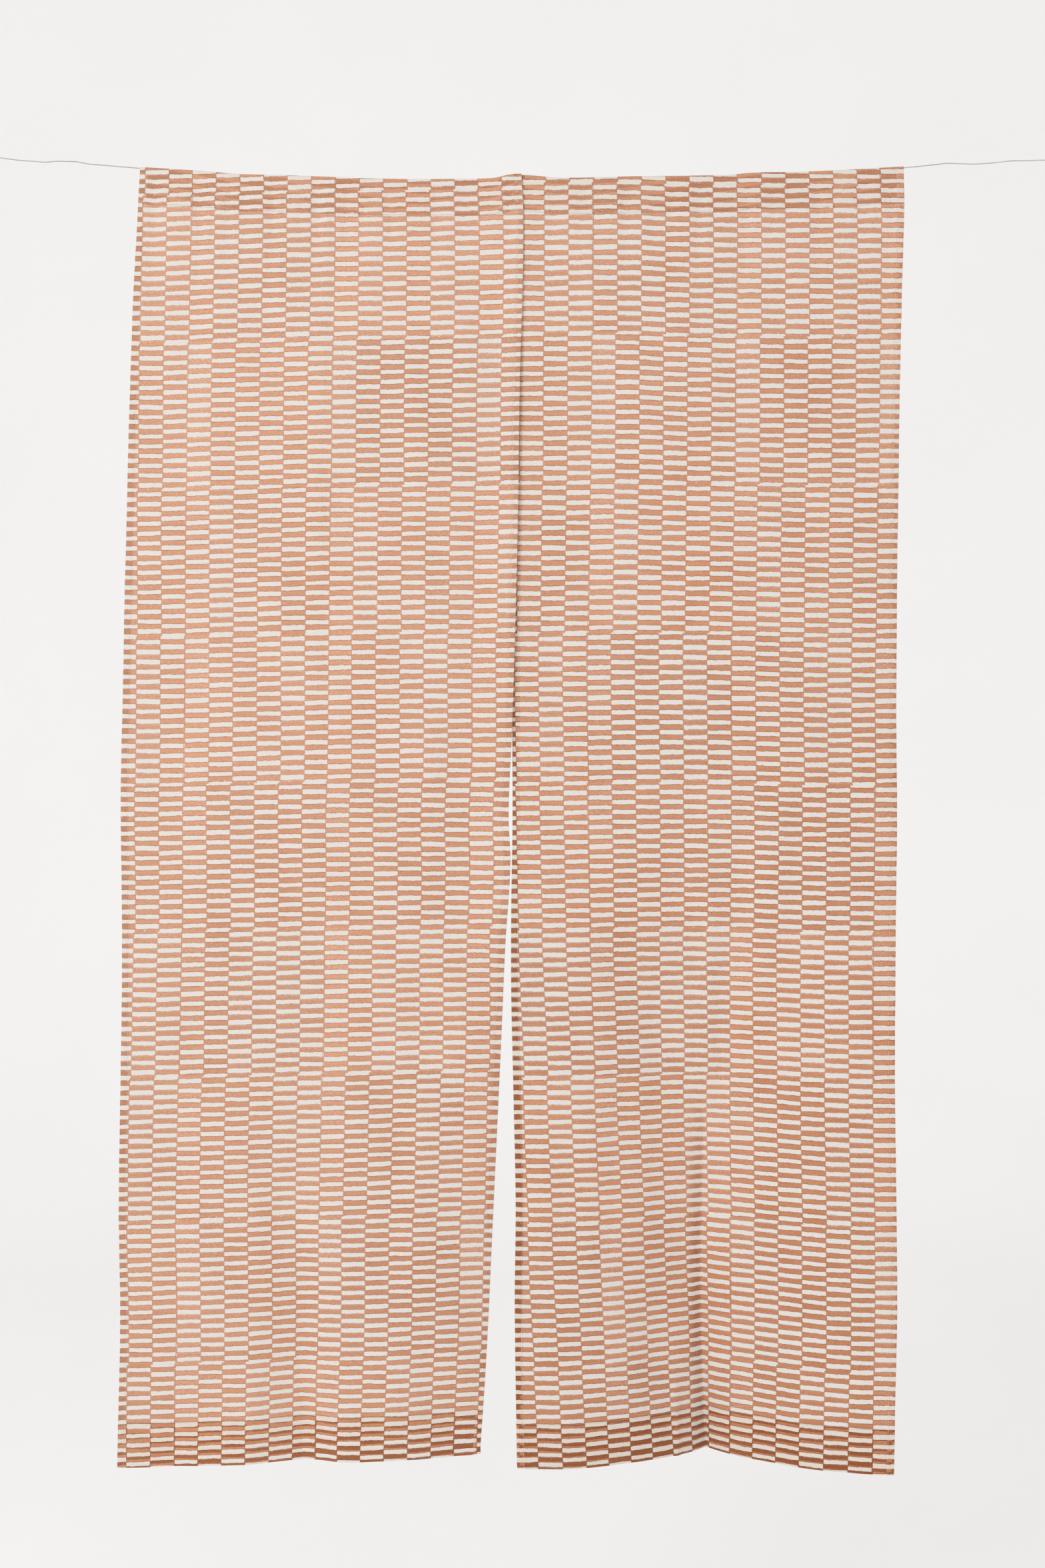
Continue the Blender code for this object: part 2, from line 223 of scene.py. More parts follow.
# Left panel's overlap and its folds, as (z, depth)
OVERLAP_START = -0.045
OVERLAP_REACH = 0.028
STAND_OFF = 0.0025
STAND_OFF_REACH = 0.060
STAND_OFF_TOP = -0.06
STAND_OFF_FULL = -0.36
PARTING_TOP = -1.02
PARTING_END = -1.35
LEFT_TURN = Curve((-1.10, 0.0), (-1.45, 0.022), (-1.80, 0.022), (-2.045, 0.012))
LEFT_VALLEY_X = -0.351
LEFT_VALLEY_REACH = 0.085
LEFT_VALLEY_DEPTH = Curve((-1.45, 0.0), (-1.75, 0.010), (-2.045, 0.017))
LEFT_RECESS_START = -0.205
LEFT_RECESS_DEPTH = Curve((-1.40, 0.0), (-1.75, 0.010), (-2.045, 0.018))

# Right panel's folds, as (z, x) for lines and (z, depth) for depths
CREASE_LINE = Curve(
    (-0.90, 0.292),
    (-1.26, 0.294),
    (-1.42, 0.292),
    (-1.60, 0.287),
    (-1.84, 0.2875),
    (-2.06, 0.2965),
)
CREASE_DEPTH = Curve((-1.40, 0.0), (-1.61, 0.019), (-1.75, 0.029), (-2.06, 0.054))
CREASE_REACH = 0.062
CREASE_RADIUS = 0.0022
FINE_CREASE_DEPTH = Curve((-1.34, 0.0), (-1.52, 0.0018), (-1.80, 0.0026), (-2.06, 0.0034))
FINE_CREASE_REACH = 0.010

HOLLOW_DEPTH = Curve((-0.85, 0.0), (-1.12, 0.014), (-1.38, 0.040), (-1.60, 0.045), (-2.06, 0.045))
HOLLOW_LEFT_REACH = 0.270
HOLLOW_RIGHT_REACH = 0.250
SHOULDER_X = 0.199
SHOULDER_REACH = 0.016
SHOULDER_DEPTH = Curve((-1.30, 0.0), (-1.50, 0.005), (-1.95, 0.005), (-2.06, 0.002))
FORWARD_LEAN = Curve((-0.95, 0.0), (-1.45, 0.010), (-2.06, 0.016))

# Shallow folds: line down the cloth as (z, x), half-width, and height forwards as (z, height)
LEFT_FOLDS = (
    (
        Curve((-0.08, -0.318), (-0.60, -0.322), (-1.05, -0.332)),
        0.034,
        Curve((-0.07, 0.0), (-0.25, 0.0010), (-0.95, 0.0008), (-1.15, 0.0)),
    ),
    (
        Curve((-0.23, -0.038), (-0.54, -0.060), (-0.86, -0.086), (-1.10, -0.105)),
        0.050,
        Curve((-0.12, 0.0), (-0.50, -0.0018), (-1.05, -0.0022), (-1.40, 0.0)),
    ),
    (
        Curve((-1.15, -0.350), (-2.05, -0.343)),
        0.020,
        Curve((-1.05, 0.0), (-1.35, -0.0007), (-2.05, -0.0024)),
    ),
    (
        Curve((-1.10, -0.115), (-1.55, -0.195), (-1.90, -0.215)),
        0.034,
        Curve((-1.05, 0.0), (-1.30, -0.0014), (-1.75, -0.0014), (-1.95, 0.0)),
    ),
    (
        Curve((-0.10, -0.205), (-0.70, -0.150), (-0.95, -0.140)),
        0.026,
        Curve((-0.08, 0.0), (-0.30, 0.0008), (-0.85, 0.0010), (-1.05, 0.0)),
    ),
    (
        Curve((-0.08, -0.500), (-0.50, -0.470), (-1.20, -0.455)),
        0.045,
        Curve((-0.07, 0.0), (-0.20, 0.0009), (-1.00, 0.0008), (-1.30, 0.0)),
    ),
    (
        Curve((-1.20, -0.520), (-2.00, -0.545)),
        0.040,
        Curve((-1.10, 0.0), (-1.40, -0.0011), (-2.00, -0.0011)),
    ),
    (
        Curve((-0.03, -0.036), (-0.16, -0.048)),
        0.012,
        Curve((-0.02, 0.0), (-0.06, 0.0012), (-0.12, 0.0006), (-0.18, 0.0)),
    ),
)
RIGHT_FOLDS = (
    (
        Curve((-0.08, 0.297), (-1.00, 0.293), (-1.57, 0.292)),
        0.022,
        Curve((-0.07, 0.0), (-0.20, 0.0010), (-0.90, 0.0012), (-1.30, 0.0034), (-1.50, 0.0030), (-1.62, 0.0)),
    ),
    (
        Curve((-0.86, 0.455), (-1.02, 0.405), (-1.34, 0.366), (-1.60, 0.318)),
        0.040,
        Curve((-0.78, 0.0), (-0.95, 0.0024), (-1.40, 0.0028), (-1.62, 0.0)),
    ),
    (
        Curve((-0.88, 0.390), (-1.02, 0.350), (-1.30, 0.325)),
        0.028,
        Curve((-0.80, 0.0), (-0.98, -0.0016), (-1.20, -0.0018), (-1.40, 0.0)),
    ),
    (
        Curve((-0.20, 0.520), (-0.45, 0.425)),
        0.035,
        Curve((-0.12, 0.0), (-0.25, 0.0014), (-0.40, 0.0012), (-0.55, 0.0)),
    ),
    (
        Curve((-0.08, 0.085), (-0.35, 0.135)),
        0.024,
        Curve((-0.06, 0.0), (-0.13, 0.0016), (-0.25, 0.0010), (-0.40, 0.0)),
    ),
    (
        Curve((-1.20, 0.100), (-1.50, 0.118), (-1.85, 0.080)),
        0.045,
        Curve((-1.05, 0.0), (-1.30, 0.0026), (-1.65, 0.0024), (-1.90, 0.0)),
    ),
    (
        Curve((-1.90, 0.243), (-2.05, 0.247)),
        0.009,
        Curve((-1.90, 0.0), (-1.96, 0.0030), (-2.06, 0.0036)),
    ),
    (
        Curve((-1.60, 0.505), (-2.05, 0.500)),
        0.040,
        Curve((-1.50, 0.0), (-1.75, -0.0014), (-2.05, -0.0016)),
    ),
    (
        Curve((-0.03, 0.345), (-0.20, 0.340)),
        0.010,
        Curve((-0.02, 0.0), (-0.06, 0.0012), (-0.11, 0.0008), (-0.20, 0.0)),
    ),
)

# Gathers below and inside the pockets, and small waves of the hems, edges and field. Waves are
# given as (length, phase, share), those of the field as (length, phase, lean, share)
GATHER_HEIGHT = 0.00105
GATHER_FADE = 0.110
GATHER_START = 0.02
GATHER_LEAN = 6.0
GATHER_WAVES = ((0.061, 0.3, 1.0), (0.037, 1.9, 0.8), (0.023, 4.1, 0.5))
HEM_WAVE_HEIGHT = 0.00045
HEM_WAVE_LEVEL = 0.03
HEM_WAVE_FADE = 0.06
HEM_WAVES = ((0.071, 2.2, 1.0), (0.043, 0.7, 0.7))
EDGE_WAVE_HEIGHT = 0.00035
EDGE_WAVE_REACH = 0.020
EDGE_WAVE_START = 0.05
EDGE_WAVES = ((0.083, 0.9, 1.0), (0.047, 3.0, 0.6))
DRAPE_HEIGHT = 0.0007
DRAPE_START = 0.25
DRAPE_WAVES = ((0.118, 1.1, 0.45, 1.0), (0.171, 2.6, -0.28, 0.8), (0.089, 4.4, 0.15, 0.5))

# Print: pitch of its columns and rows, size of one hand block, and how the cells are cut
COLUMN_PITCH = 0.0375
ROW_PITCH = 0.23 / 15.0
BLOCK_COLUMNS = 6.0
BLOCK_ROWS = 15.0
PRINTED_COLUMNS = 15.0
CELL_HALF_WIDTH = 18.35
CELL_HALF_HEIGHT = 3.38
CELL_CORNER = 1.1
BLOCK_RIM = 0.45
# Share of the second layer's painted shade that the pockets get
POCKET_SHADE = 0.5

# How far each impression of the block may slip, turn and slant, in columns and rows
BLOCK_SLIP_X = 0.05
BLOCK_SLIP_Y = 0.16
BLOCK_TURN = 0.035
BLOCK_SLANT = 0.055

# How much single cells sway, stand aside, tilt and grow, in millimetres; CELL_WAVERS are given as
# (scale of the noise, sway across, sway down)
CELL_WAVERS = ((0.10, 1.5, 2.0), (0.55, 0.9, 1.6))
CELL_ASIDE = 0.4
CELL_TILT = 0.04
CELL_TALL = 0.9

# How much ink is lost where the block is worn, dry, ragged, thin or scraped, and what changes its tone
WORN_LOSS = 0.04
DRY_LOSS = 0.05
RAGGED_LOSS = 0.07
THIN_LOSS = 0.38
SCRAPE_LOSS = 0.85
BLOCK_TONE = 0.09
CELL_TONE = 0.05
WORN_TONE = 0.05
POOL_TONE = -0.16

# Place on the block where it is worn, and what tells its chances apart
WORN_COLUMN = 0.5
WORN_ROW = 3.5
CELL_SEED = 3.0
SCRAPE_SEED = 7.0
CHARGE_SEED = 11.0
COLUMNS_APART = 31.0

# First column, first row and seed of each panel's print; depth of its ink at the top left, and what each
# metre down and across adds; how strongly the side hems show at the left and right edge, as the painted shade
# of their second layer, which on the right panel's left edge also paints the shadow of the left panel lying
# over it
LEFT_PRINT = (4.0, -0.42, 2.0)
RIGHT_PRINT = (3.0, -0.42, 5.0)
LEFT_INK = (0.02, 0.16, 0.35)
RIGHT_INK = (0.22, 0.22, 0.25)
LEFT_SIDE_SHADE = (0.42, 0.28)
RIGHT_SIDE_SHADE = (1.0, 0.42)

# What bare cloth behind bare cloth does to its cream, on each panel: painted shade standing in for the light
# that the second layer keeps from coming through
LEFT_DOUBLE_CREAM = (1.0, 1.0, 0.995, 1.0)
RIGHT_DOUBLE_CREAM = (0.97, 0.93, 0.885, 1.0)

# Pitch of the threads, and depth of the relief of seams and threads
WARP_PITCH = 0.00086
WEFT_PITCH = 0.00092
SEAM_BUMP = 0.0012
THREAD_BUMP = 0.00012

# How softly the second layer of the side hems, the bottom hem and the pocket ends
SIDE_BLUR = 0.0004
LEVEL_BLUR = 0.0006

# Marks that the sheets carry for their materials
FLAT_MAP = "flat cloth"
EDGE_MARKS = "from_edges"
CREASE_SHADE_MARK = "painted_crease_shade"

# What multiplies the ink at a dash's rim, and the painted shade that multiplies the ink and the cream on the
# left wall of the V-shaped fold
RIM_INK = (0.80, 0.70, 0.62, 1.0)
CREASE_SHADE_INK = (0.72, 0.625, 0.56, 1.0)
CREASE_SHADE_CREAM = (0.985, 0.98, 0.975, 1.0)

# Painted shade: how much the print is darkened on the left wall of the V-shaped fold, where shade falls: by
# height as (z, share), and by place as (offset from the crease, share)
CREASE_SHADE_HEIGHT = Curve((-1.38, 0.0), (-1.62, 0.85), (-1.80, 1.0), (-1.98, 0.75), (-2.06, 0.55))
CREASE_SHADE_PLACE = Curve((-0.024, 0.0), (-0.018, 0.5), (-0.011, 0.95), (-0.004, 0.9), (0.002, 0.0))

# Margins between the cut edges and the print's first and last column lines: z, width
LEFT_PANEL_LEFT_MARGIN = Curve(
    (-0.02, 0.0075),
    (-0.11, 0.0102),
    (-0.23, 0.0129),
    (-0.48, 0.0168),
    (-0.86, 0.0221),
    (-1.11, 0.0215),
    (-1.36, 0.0164),
    (-1.73, 0.0135),
    (-2.05, 0.0150),
)
LEFT_PANEL_RIGHT_MARGIN = Curve(
    (-0.02, 0.0320),
    (-0.36, 0.0302),
    (-0.73, 0.0305),
    (-0.98, 0.0242),
    (-1.11, 0.0270),
    (-1.36, 0.0191),
    (-1.61, 0.0148),
    (-2.05, 0.0070),
)
RIGHT_PANEL_LEFT_MARGIN = Curve(
    (-0.02, 0.0070),
    (-0.98, 0.0064),
    (-1.11, 0.0094),
    (-1.36, 0.0165),
    (-1.61, 0.0184),
    (-1.86, 0.0286),
    (-2.05, 0.0330),
)
RIGHT_PANEL_RIGHT_MARGIN = Curve(
    (-0.02, 0.0380),
    (-0.23, 0.0330),
    (-0.50, 0.0313),
    (-1.04, 0.0344),
    (-2.05, 0.0350),
)

# Height of each hand block's upper line at the outer edge: z, distance down the flat cloth
LEFT_BLOCK_LINES = Curve(
    (-0.0065, -0.0490),
    (-0.0525, 0.0),
    (-0.2830, 0.23),
    (-0.5121, 0.46),
    (-0.7415, 0.69),
    (-0.9733, 0.92),
    (-1.2026, 1.15),
    (-1.4300, 1.38),
    (-1.6552, 1.61),
    (-1.8772, 1.84),
    (-2.0979, 2.07),
)
RIGHT_BLOCK_LINES = Curve(
    (0.0050, -0.0490),
    (-0.0417, 0.0),
    (-0.2765, 0.23),
    (-0.5074, 0.46),
    (-0.7406, 0.69),
    (-0.9738, 0.92),
    (-1.2040, 1.15),
    (-1.4350, 1.38),
    (-1.6646, 1.61),
    (-1.8900, 1.84),
    (-2.1142, 2.07),
)

# How far the rows rise above their height at the left edge, near the top and at mid height: x, rise
LEFT_RISE_HIGH = Curve((-0.57, 0.0), (-0.35, 0.0060), (-0.13, 0.0096), (-0.02, 0.0120))
LEFT_RISE_LOW = Curve((-0.58, 0.0), (-0.36, 0.0047), (-0.17, 0.0074), (-0.06, 0.0078))
RIGHT_RISE_HIGH = Curve((0.05, 0.0101), (0.17, 0.0106), (0.24, 0.0073), (0.39, 0.0053), (0.54, 0.0045))
RIGHT_RISE_LOW = Curve((0.01, 0.0029), (0.16, 0.0048), (0.31, 0.0043), (0.46, 0.0004), (0.54, 0.0001))
LEFT_RISE_HEM = Curve((-0.632, 0.0), (-0.066, 0.0107))
RIGHT_RISE_HEM = Curve((-0.008, 0.0117), (0.577, 0.0))
RISE_HIGH_Z = -0.106
RISE_LOW_Z = -0.982
RISE_HEM_Z = -1.96

# Grid of the fine sheets, in the solids' own count of columns
LEFT_COLUMNS = 22
LEFT_VALLEY_COLUMN = 10
RIGHT_COLUMNS = 24
RIGHT_CREASE_COLUMN = 12
HEM_COLUMNS = (0.0, 0.03, 0.12, 0.40, 0.72, 0.83, 0.94, 1.0, 1.4, 2.0)
FIELD_COLUMNS = 48
FOLD_CROWDING = 1.25
FIELD_ROWS = 250
HEM_ROWS = 22
POCKET_ROWS = 18
TURN_STEPS = 8

# Thickness across a side hem, as (column, share of the hem's thickness): rounded edge, dent at
# the stitching, and the step down to the single cloth
HEM_PROFILE = Curve(
    (0.0, 0.45),
    (0.03, 0.80),
    (0.12, 1.0),
    (0.72, 1.0),
    (0.83, 0.72),
    (0.94, 0.98),
    (1.0, 0.92),
)
HEM_PROFILE_END = 1.0

# Stitching: where the seams run and start, the half size of a stitch as a share of the pitch and in
# metres, and the steps that give a stitch its direction
STITCH_COLUMN = 0.83
POCKET_SEAM = 0.0575
HEM_SEAM = 0.0690
SEAM_START = 0.12
STITCH_SHARE = 0.42
STITCH_RADIUS = 0.00026
STITCH_SINK = 0.00003
COLUMN_STEP = 0.02
FALL_STEP = 0.0005

# Loose thread ends on the front of each panel, as (x, z)
THREAD_RADIUS = 0.00018
THREAD_LIFT = 0.0011
LIFT_START = 0.1
LIFT_SPAN = 0.8
THREAD_SIDES = 5
THREAD_STEPS = 6
LEFT_THREADS = (
    ((-0.6128, -0.3470), (-0.6040, -0.3476), (-0.5953, -0.3531), (-0.5877, -0.3586)),
    ((-0.6010, -0.0692), (-0.5955, -0.0684), (-0.5906, -0.0682)),
    ((-0.5995, -0.0712), (-0.5940, -0.0700), (-0.5900, -0.0688)),
    ((-0.4901, -1.9073), (-0.4890, -1.9034), (-0.4872, -1.9012), (-0.4850, -1.9020)),
)
RIGHT_THREADS = (
    ((0.5852, -0.6359), (0.5787, -0.6396), (0.5751, -0.6477), (0.5743, -0.6578), (0.5763, -0.6660)),
    ((0.5759, -0.7351), (0.5787, -0.7431), (0.5818, -0.7464)),
    ((0.3220, -1.9816), (0.3276, -1.9741), (0.3345, -1.9691), (0.3477, -1.9673), (0.3553, -1.9639)),
)

# Scale of the streaks in the metal along x, y and z
WIRE_STREAKS = (40.0, 2500.0, 2500.0)
PLATE_STREAKS = (700.0, 300.0, 300.0)

# Stage
GROUND_HALF_WIDTH = 40.0
WALL_TOP = 9.0
COVE_RADIUS = 3.0
COVE_STEPS = 24
ROOM_COLOUR = (1.0, 0.995, 0.99, 1.0)

# Lights: place, the point that they face, size, colour
WINDOW_LIGHT = ((-4.2, -4.2, 0.3), (0.1, 0.0, -1.0), (2.2, 3.0), (1.0, 0.99, 0.975))
FILL_LIGHT = ((3.2, -4.4, -1.0), (0.2, 0.0, -1.3), (2.4, 2.4), (1.0, 1.0, 1.0))

# Camera
CAMERA_DISTANCE = 2.7
CAMERA_HEIGHT = -0.978
SENSOR_HEIGHT = 36.0
PICTURE_HEIGHT = 2352 * 0.0010426
CAMERA_REACH = 60.0


def smooth(value):
    """Soft step from 0 to 1."""
    value = min(max(value, 0.0), 1.0)
    return value * value * (3.0 - 2.0 * value)


def bump(offset, reach):
    """Rounded hill of height 1 and half-width reach."""
    if abs(offset) >= reach:
        return 0.0
    return math.cos(0.5 * math.pi * offset / reach) ** 2


def spread(start, end, steps):
    """Even places from start to end, both included."""
    return [start + (end - start) * step / steps for step in range(steps + 1)]


def ripple(waves, place, drift=0.0):
    """Sum of a few waves (length, phase, share) along a line; drift leans them."""
    return sum(
        share * math.sin(2.0 * math.pi * place / length + phase + drift)
        for length, phase, share in waves
    )


def wire_height(x):
    """Height of the wire's middle at x."""
    return WIRE_ROUTE.at(x)


class Cloth:
    """One cloth panel: the places of its points, and where they lie on the flat printed cloth."""

    def __init__(self, settings):
        self.single = settings.cloth_thickness
        self.hemmed = settings.side_hem_thickness

    def thickness(self, column):
        """Thickness of the cloth at a grid column, with the folded hems at both sides."""
        inwards = min(column, self.columns - column)
        if inwards > HEM_PROFILE_END:
            return self.single
        return self.hemmed * HEM_PROFILE.at(inwards)

    def pocket_radius(self, column, x):
        """Radius of the pocket's turn over the wire, at the middle of the cloth's thickness."""
        return FRONT_FACE - 0.5 * self.thickness(column)

    def column_x(self, column, z):
        """Place of a grid column at height z: edges, hem seams and the main fold are kept."""
        left = self.left_edge.at(z)
        right = self.right_edge.at(z)
        field = SIDE_HEM_WIDTH + HEM_STEP
        keys = (
            (0, left),
            (1, left + SIDE_HEM_WIDTH),
            (2, left + field),
            (self.fold_column, self.fold_line(z)),
            (self.columns - 2, right - field),
            (self.columns - 1, right - SIDE_HEM_WIDTH),
            (self.columns, right),
        )
        for before, after in zip(keys, keys[1:]):
            if column <= after[0]:
                part = (column - before[0]) / (after[0] - before[0])
                return before[1] + part * (after[1] - before[1])
        return right

    def closing(self, x):
        """How far the pocket's two layers draw together at its seam, from 0 to 1."""
        return 1.0

    def layer_radius(self, column, x, fall, below_top):
        """Half the distance between the cloth's two layers, in the pocket or in the hem."""
        hem_radius = 0.5 * (self.thickness(column) + LAYER_GAP)
        if fall > HALF_WAY:
            return hem_radius
        closing = smooth(below_top / POCKET_DEPTH) * self.closing(x)
        pocket_radius = self.pocket_radius(column, x)
        return pocket_radius + closing * (hem_radius - pocket_radius)

    def relief(self, x, z, below_top, above_hem):
        """Small creases and waves of the front, as a depth."""
        depth = 0.0
        for line, reach, height in self.folds:
            depth -= height.at(z) * bump(x - line.at(z), reach)
        gathered = math.exp(-abs(below_top - POCKET_SEAM) / GATHER_FADE)
        gathers = gathered * ripple(GATHER_WAVES, x, GATHER_LEAN * below_top)
        depth -= GATHER_HEIGHT * smooth(below_top / GATHER_START) * gathers
        hemmed = math.exp(-abs(above_hem - HEM_WAVE_LEVEL) / HEM_WAVE_FADE)
        depth -= HEM_WAVE_HEIGHT * hemmed * ripple(HEM_WAVES, x)
        inwards = min(x - self.left_edge.at(z), self.right_edge.at(z) - x)
        at_edge = math.exp(-max(inwards, 0.0) / EDGE_WAVE_REACH)
        depth -= EDGE_WAVE_HEIGHT * at_edge * smooth(below_top / EDGE_WAVE_START) * ripple(EDGE_WAVES, z)
        draped = smooth(below_top / DRAPE_START)
        return depth - DRAPE_HEIGHT * draped * sum(
            share * math.sin(2.0 * math.pi * (x + lean * z) / length + phase)
            for length, phase, lean, share in DRAPE_WAVES
        )

    def slope(self, x, z):
        """Slope of the front across the panel."""
        rise = self.depth(x + SLOPE_STEP, z) - self.depth(x - SLOPE_STEP, z)
        return rise / (2.0 * SLOPE_STEP)

    def point(self, column, fall, turn):
        """Place of the middle of the cloth's thickness.

        fall is 0 at the pocket's turn and 1 at the hem's. turn is the angle past the front
        layer: 0 on the front, pi on the layer at the back, between them on the way round.
        """
        x = self.column_x(column, NOMINAL_TOP - NOMINAL_DROP * fall)
        top = wire_height(x) + CENTRE_LIFT * bump(x, CENTRE_LIFT_REACH)
        share = column / self.columns
        lowest = self.hem_line[0] + share * (self.hem_line[1] - self.hem_line[0])
        bottom = lowest + self.thickness(column) + 0.5 * LAYER_GAP
        z = top + fall * (bottom - top)
        radius = self.layer_radius(column, x, fall, top - z)
        front = self.depth(x, z) + self.relief(x, z, top - z, z - bottom) - self.pocket_radius(column, x)
        shift = radius * (1.0 - math.cos(turn))
        slope = self.slope(x, z)
        length = math.hypot(1.0, slope)
        rise = radius * math.sin(turn) * (-1.0 if fall > HALF_WAY else 1.0)
        return Vector((x - shift * slope / length, front + shift / length, z + rise))

    def face_depth(self, x, z):
        """Depth of the single cloth's front face."""
        share = (x - self.left_edge.at(z)) / (self.right_edge.at(z) - self.left_edge.at(z))
        bottom = self.hem_line[0] + share * (self.hem_line[1] - self.hem_line[0])
        return self.depth(x, z) + self.relief(x, z, wire_height(x) - z, z - bottom) - FRONT_FACE

    def painted_crease_shade(self, x, z):
        """Share of the painted shade by a pressed fold here, from 0 to 1."""
        return 0.0

    def grid_columns(self):
        """Columns of the fine grid: close together in the side hems and by the main fold."""
        rising = [step / FIELD_COLUMNS for step in range(1, FIELD_COLUMNS + 1)]
        start = HEM_COLUMNS[-1]
        end = self.columns - start
        fold = self.fold_column
        left = [start + (fold - start) * (1.0 - (1.0 - part) ** FOLD_CROWDING) for part in rising]
        right = [end - (end - fold) * (1.0 - part ** FOLD_CROWDING) for part in rising]
        hem = [self.columns - column for column in reversed(HEM_COLUMNS)]
        return list(HEM_COLUMNS) + left + right + hem[1:]

    def grid_rows(self):
        """Rows of the fine grid as (fall, turn), from the hem's raw edge to the pocket's."""
        high = POCKET_DEPTH / NOMINAL_DROP
        low = 1.0 - HEM_DEPTH / NOMINAL_DROP
        turns = [math.pi * step / TURN_STEPS for step in range(1, TURN_STEPS)]
        rows = [(fall, math.pi) for fall in spread(low, 1.0, HEM_ROWS)]
        rows += [(1.0, turn) for turn in reversed(turns)]
        rows += [(fall, 0.0) for fall in spread(1.0, low, HEM_ROWS)]
        rows += [(fall, 0.0) for fall in spread(low, high, FIELD_ROWS)[1:-1]]
        rows += [(fall, 0.0) for fall in spread(high, 0.0, POCKET_ROWS)]
        rows += [(0.0, turn) for turn in turns]
        rows += [(fall, math.pi) for fall in spread(0.0, high, POCKET_ROWS)]
        return rows

    def rise(self, x, z):
        """How far the print's rows stand above their height at the curtain's left edge."""
        high = self.rise_high.at(x)
        low = self.rise_low.at(x)
        hem = self.rise_hem.at(x)
        share = smooth((RISE_HIGH_Z - z) / (RISE_HIGH_Z - RISE_LOW_Z))
        by_hem = smooth((RISE_LOW_Z - z) / (RISE_LOW_Z - RISE_HEM_Z))
        return high + share * (low - high) + by_hem * (hem - low)

    def across(self, reach, width, z):
        """Distance on the flat cloth from the print's first column line."""
        left = self.left_margin.at(z)
        right = self.right_margin.at(z)
        return PRINTED_COLUMNS * COLUMN_PITCH * (reach - left) / (width - left - right)

    def down(self, x, z):
        """Distance on the flat cloth below the print's first row."""
        return self.block_lines.at(z - self.rise(x, z))


class LeftCloth(Cloth):
    """Nearly flat and a little turned, with its inner edge over the right panel."""

    left_edge = LEFT_OUTER_EDGE
    right_edge = LEFT_INNER_EDGE
    hem_line = LEFT_HEM_LINE
    columns = LEFT_COLUMNS
    fold_column = LEFT_VALLEY_COLUMN
    folds = LEFT_FOLDS
    left_margin = LEFT_PANEL_LEFT_MARGIN
    right_margin = LEFT_PANEL_RIGHT_MARGIN
    rise_high = LEFT_RISE_HIGH
    rise_low = LEFT_RISE_LOW
    rise_hem = LEFT_RISE_HEM
    block_lines = LEFT_BLOCK_LINES
    threads = LEFT_THREADS
    side = "left"
    print_start = LEFT_PRINT
    ink_depth = LEFT_INK
    side_shade = LEFT_SIDE_SHADE
    double_cream = LEFT_DOUBLE_CREAM

    def depth(self, x, z):
        """How far the front lies behind the plane of the wire."""
        outer = self.left_edge.at(z)
        inner = self.right_edge.at(z)
        share = (x - outer) / (inner - outer)
        depth = (share - 0.5) * LEFT_TURN.at(z)
        depth += LEFT_VALLEY_DEPTH.at(z) * bump(x - LEFT_VALLEY_X, LEFT_VALLEY_REACH)
        recess = smooth((x - LEFT_RECESS_START) / (inner - LEFT_RECESS_START))
        depth += LEFT_RECESS_DEPTH.at(z) * recess
        below_pocket = smooth((z - STAND_OFF_TOP) / (STAND_OFF_FULL - STAND_OFF_TOP))
        together = smooth((z - PARTING_END) / (PARTING_TOP - PARTING_END))
        near = smooth(1.0 - (inner - x) / STAND_OFF_REACH)
        return depth - STAND_OFF * below_pocket * together * near

    def fold_line(self, z):
        """Place of the soft valley at height z."""
        return LEFT_VALLEY_X

    def over_right(self, x):
        """0 on the panel's own pocket, 1 where it is folded over the right panel's."""
        return smooth((x - OVERLAP_START) / OVERLAP_REACH)

    def pocket_radius(self, column, x):
        """At the overlap the pocket is wide enough to hold the right panel's."""
        room = SOLID_HEM_THICKNESS + PIECE_GAP
        return super().pocket_radius(column, x) + room * self.over_right(x)

    def closing(self, x):
        """The layers stay apart where the right panel's pocket lies between them."""
        return 1.0 - self.over_right(x)


class RightCloth(Cloth):
    """Flat at the top, with a broad hollow that sharpens into a V-shaped fold at the hem."""

    left_edge = RIGHT_INNER_EDGE
    right_edge = RIGHT_OUTER_EDGE
    hem_line = RIGHT_HEM_LINE
    columns = RIGHT_COLUMNS
    fold_column = RIGHT_CREASE_COLUMN
    folds = RIGHT_FOLDS
    left_margin = RIGHT_PANEL_LEFT_MARGIN
    right_margin = RIGHT_PANEL_RIGHT_MARGIN
    rise_high = RIGHT_RISE_HIGH
    rise_low = RIGHT_RISE_LOW
    rise_hem = RIGHT_RISE_HEM
    block_lines = RIGHT_BLOCK_LINES
    threads = RIGHT_THREADS
    side = "right"
    print_start = RIGHT_PRINT
    ink_depth = RIGHT_INK
    side_shade = RIGHT_SIDE_SHADE
    double_cream = RIGHT_DOUBLE_CREAM

    def depth(self, x, z):
        """How far the front lies behind the plane of the wire."""
        offset = x - self.fold_line(z)
        reach = HOLLOW_LEFT_REACH if offset < 0.0 else HOLLOW_RIGHT_REACH
        depth = HOLLOW_DEPTH.at(z) * bump(offset, reach)
        away = math.hypot(offset, CREASE_RADIUS) - CREASE_RADIUS
        depth += CREASE_DEPTH.at(z) * math.exp(-away / CREASE_REACH)
        depth += FINE_CREASE_DEPTH.at(z) * math.exp(-away / FINE_CREASE_REACH)
        depth += 0.5 * SHOULDER_DEPTH.at(z) * math.tanh((x - SHOULDER_X) / SHOULDER_REACH)
        return depth - FORWARD_LEAN.at(z)

    def fold_line(self, z):
        """Place of the V-shaped fold at height z."""
        return CREASE_LINE.at(z)

    def painted_crease_shade(self, x, z):
        """Painted shade, full in a narrow band on the left of the crease."""
        return CREASE_SHADE_PLACE.at(x - self.fold_line(z)) * CREASE_SHADE_HEIGHT.at(z)


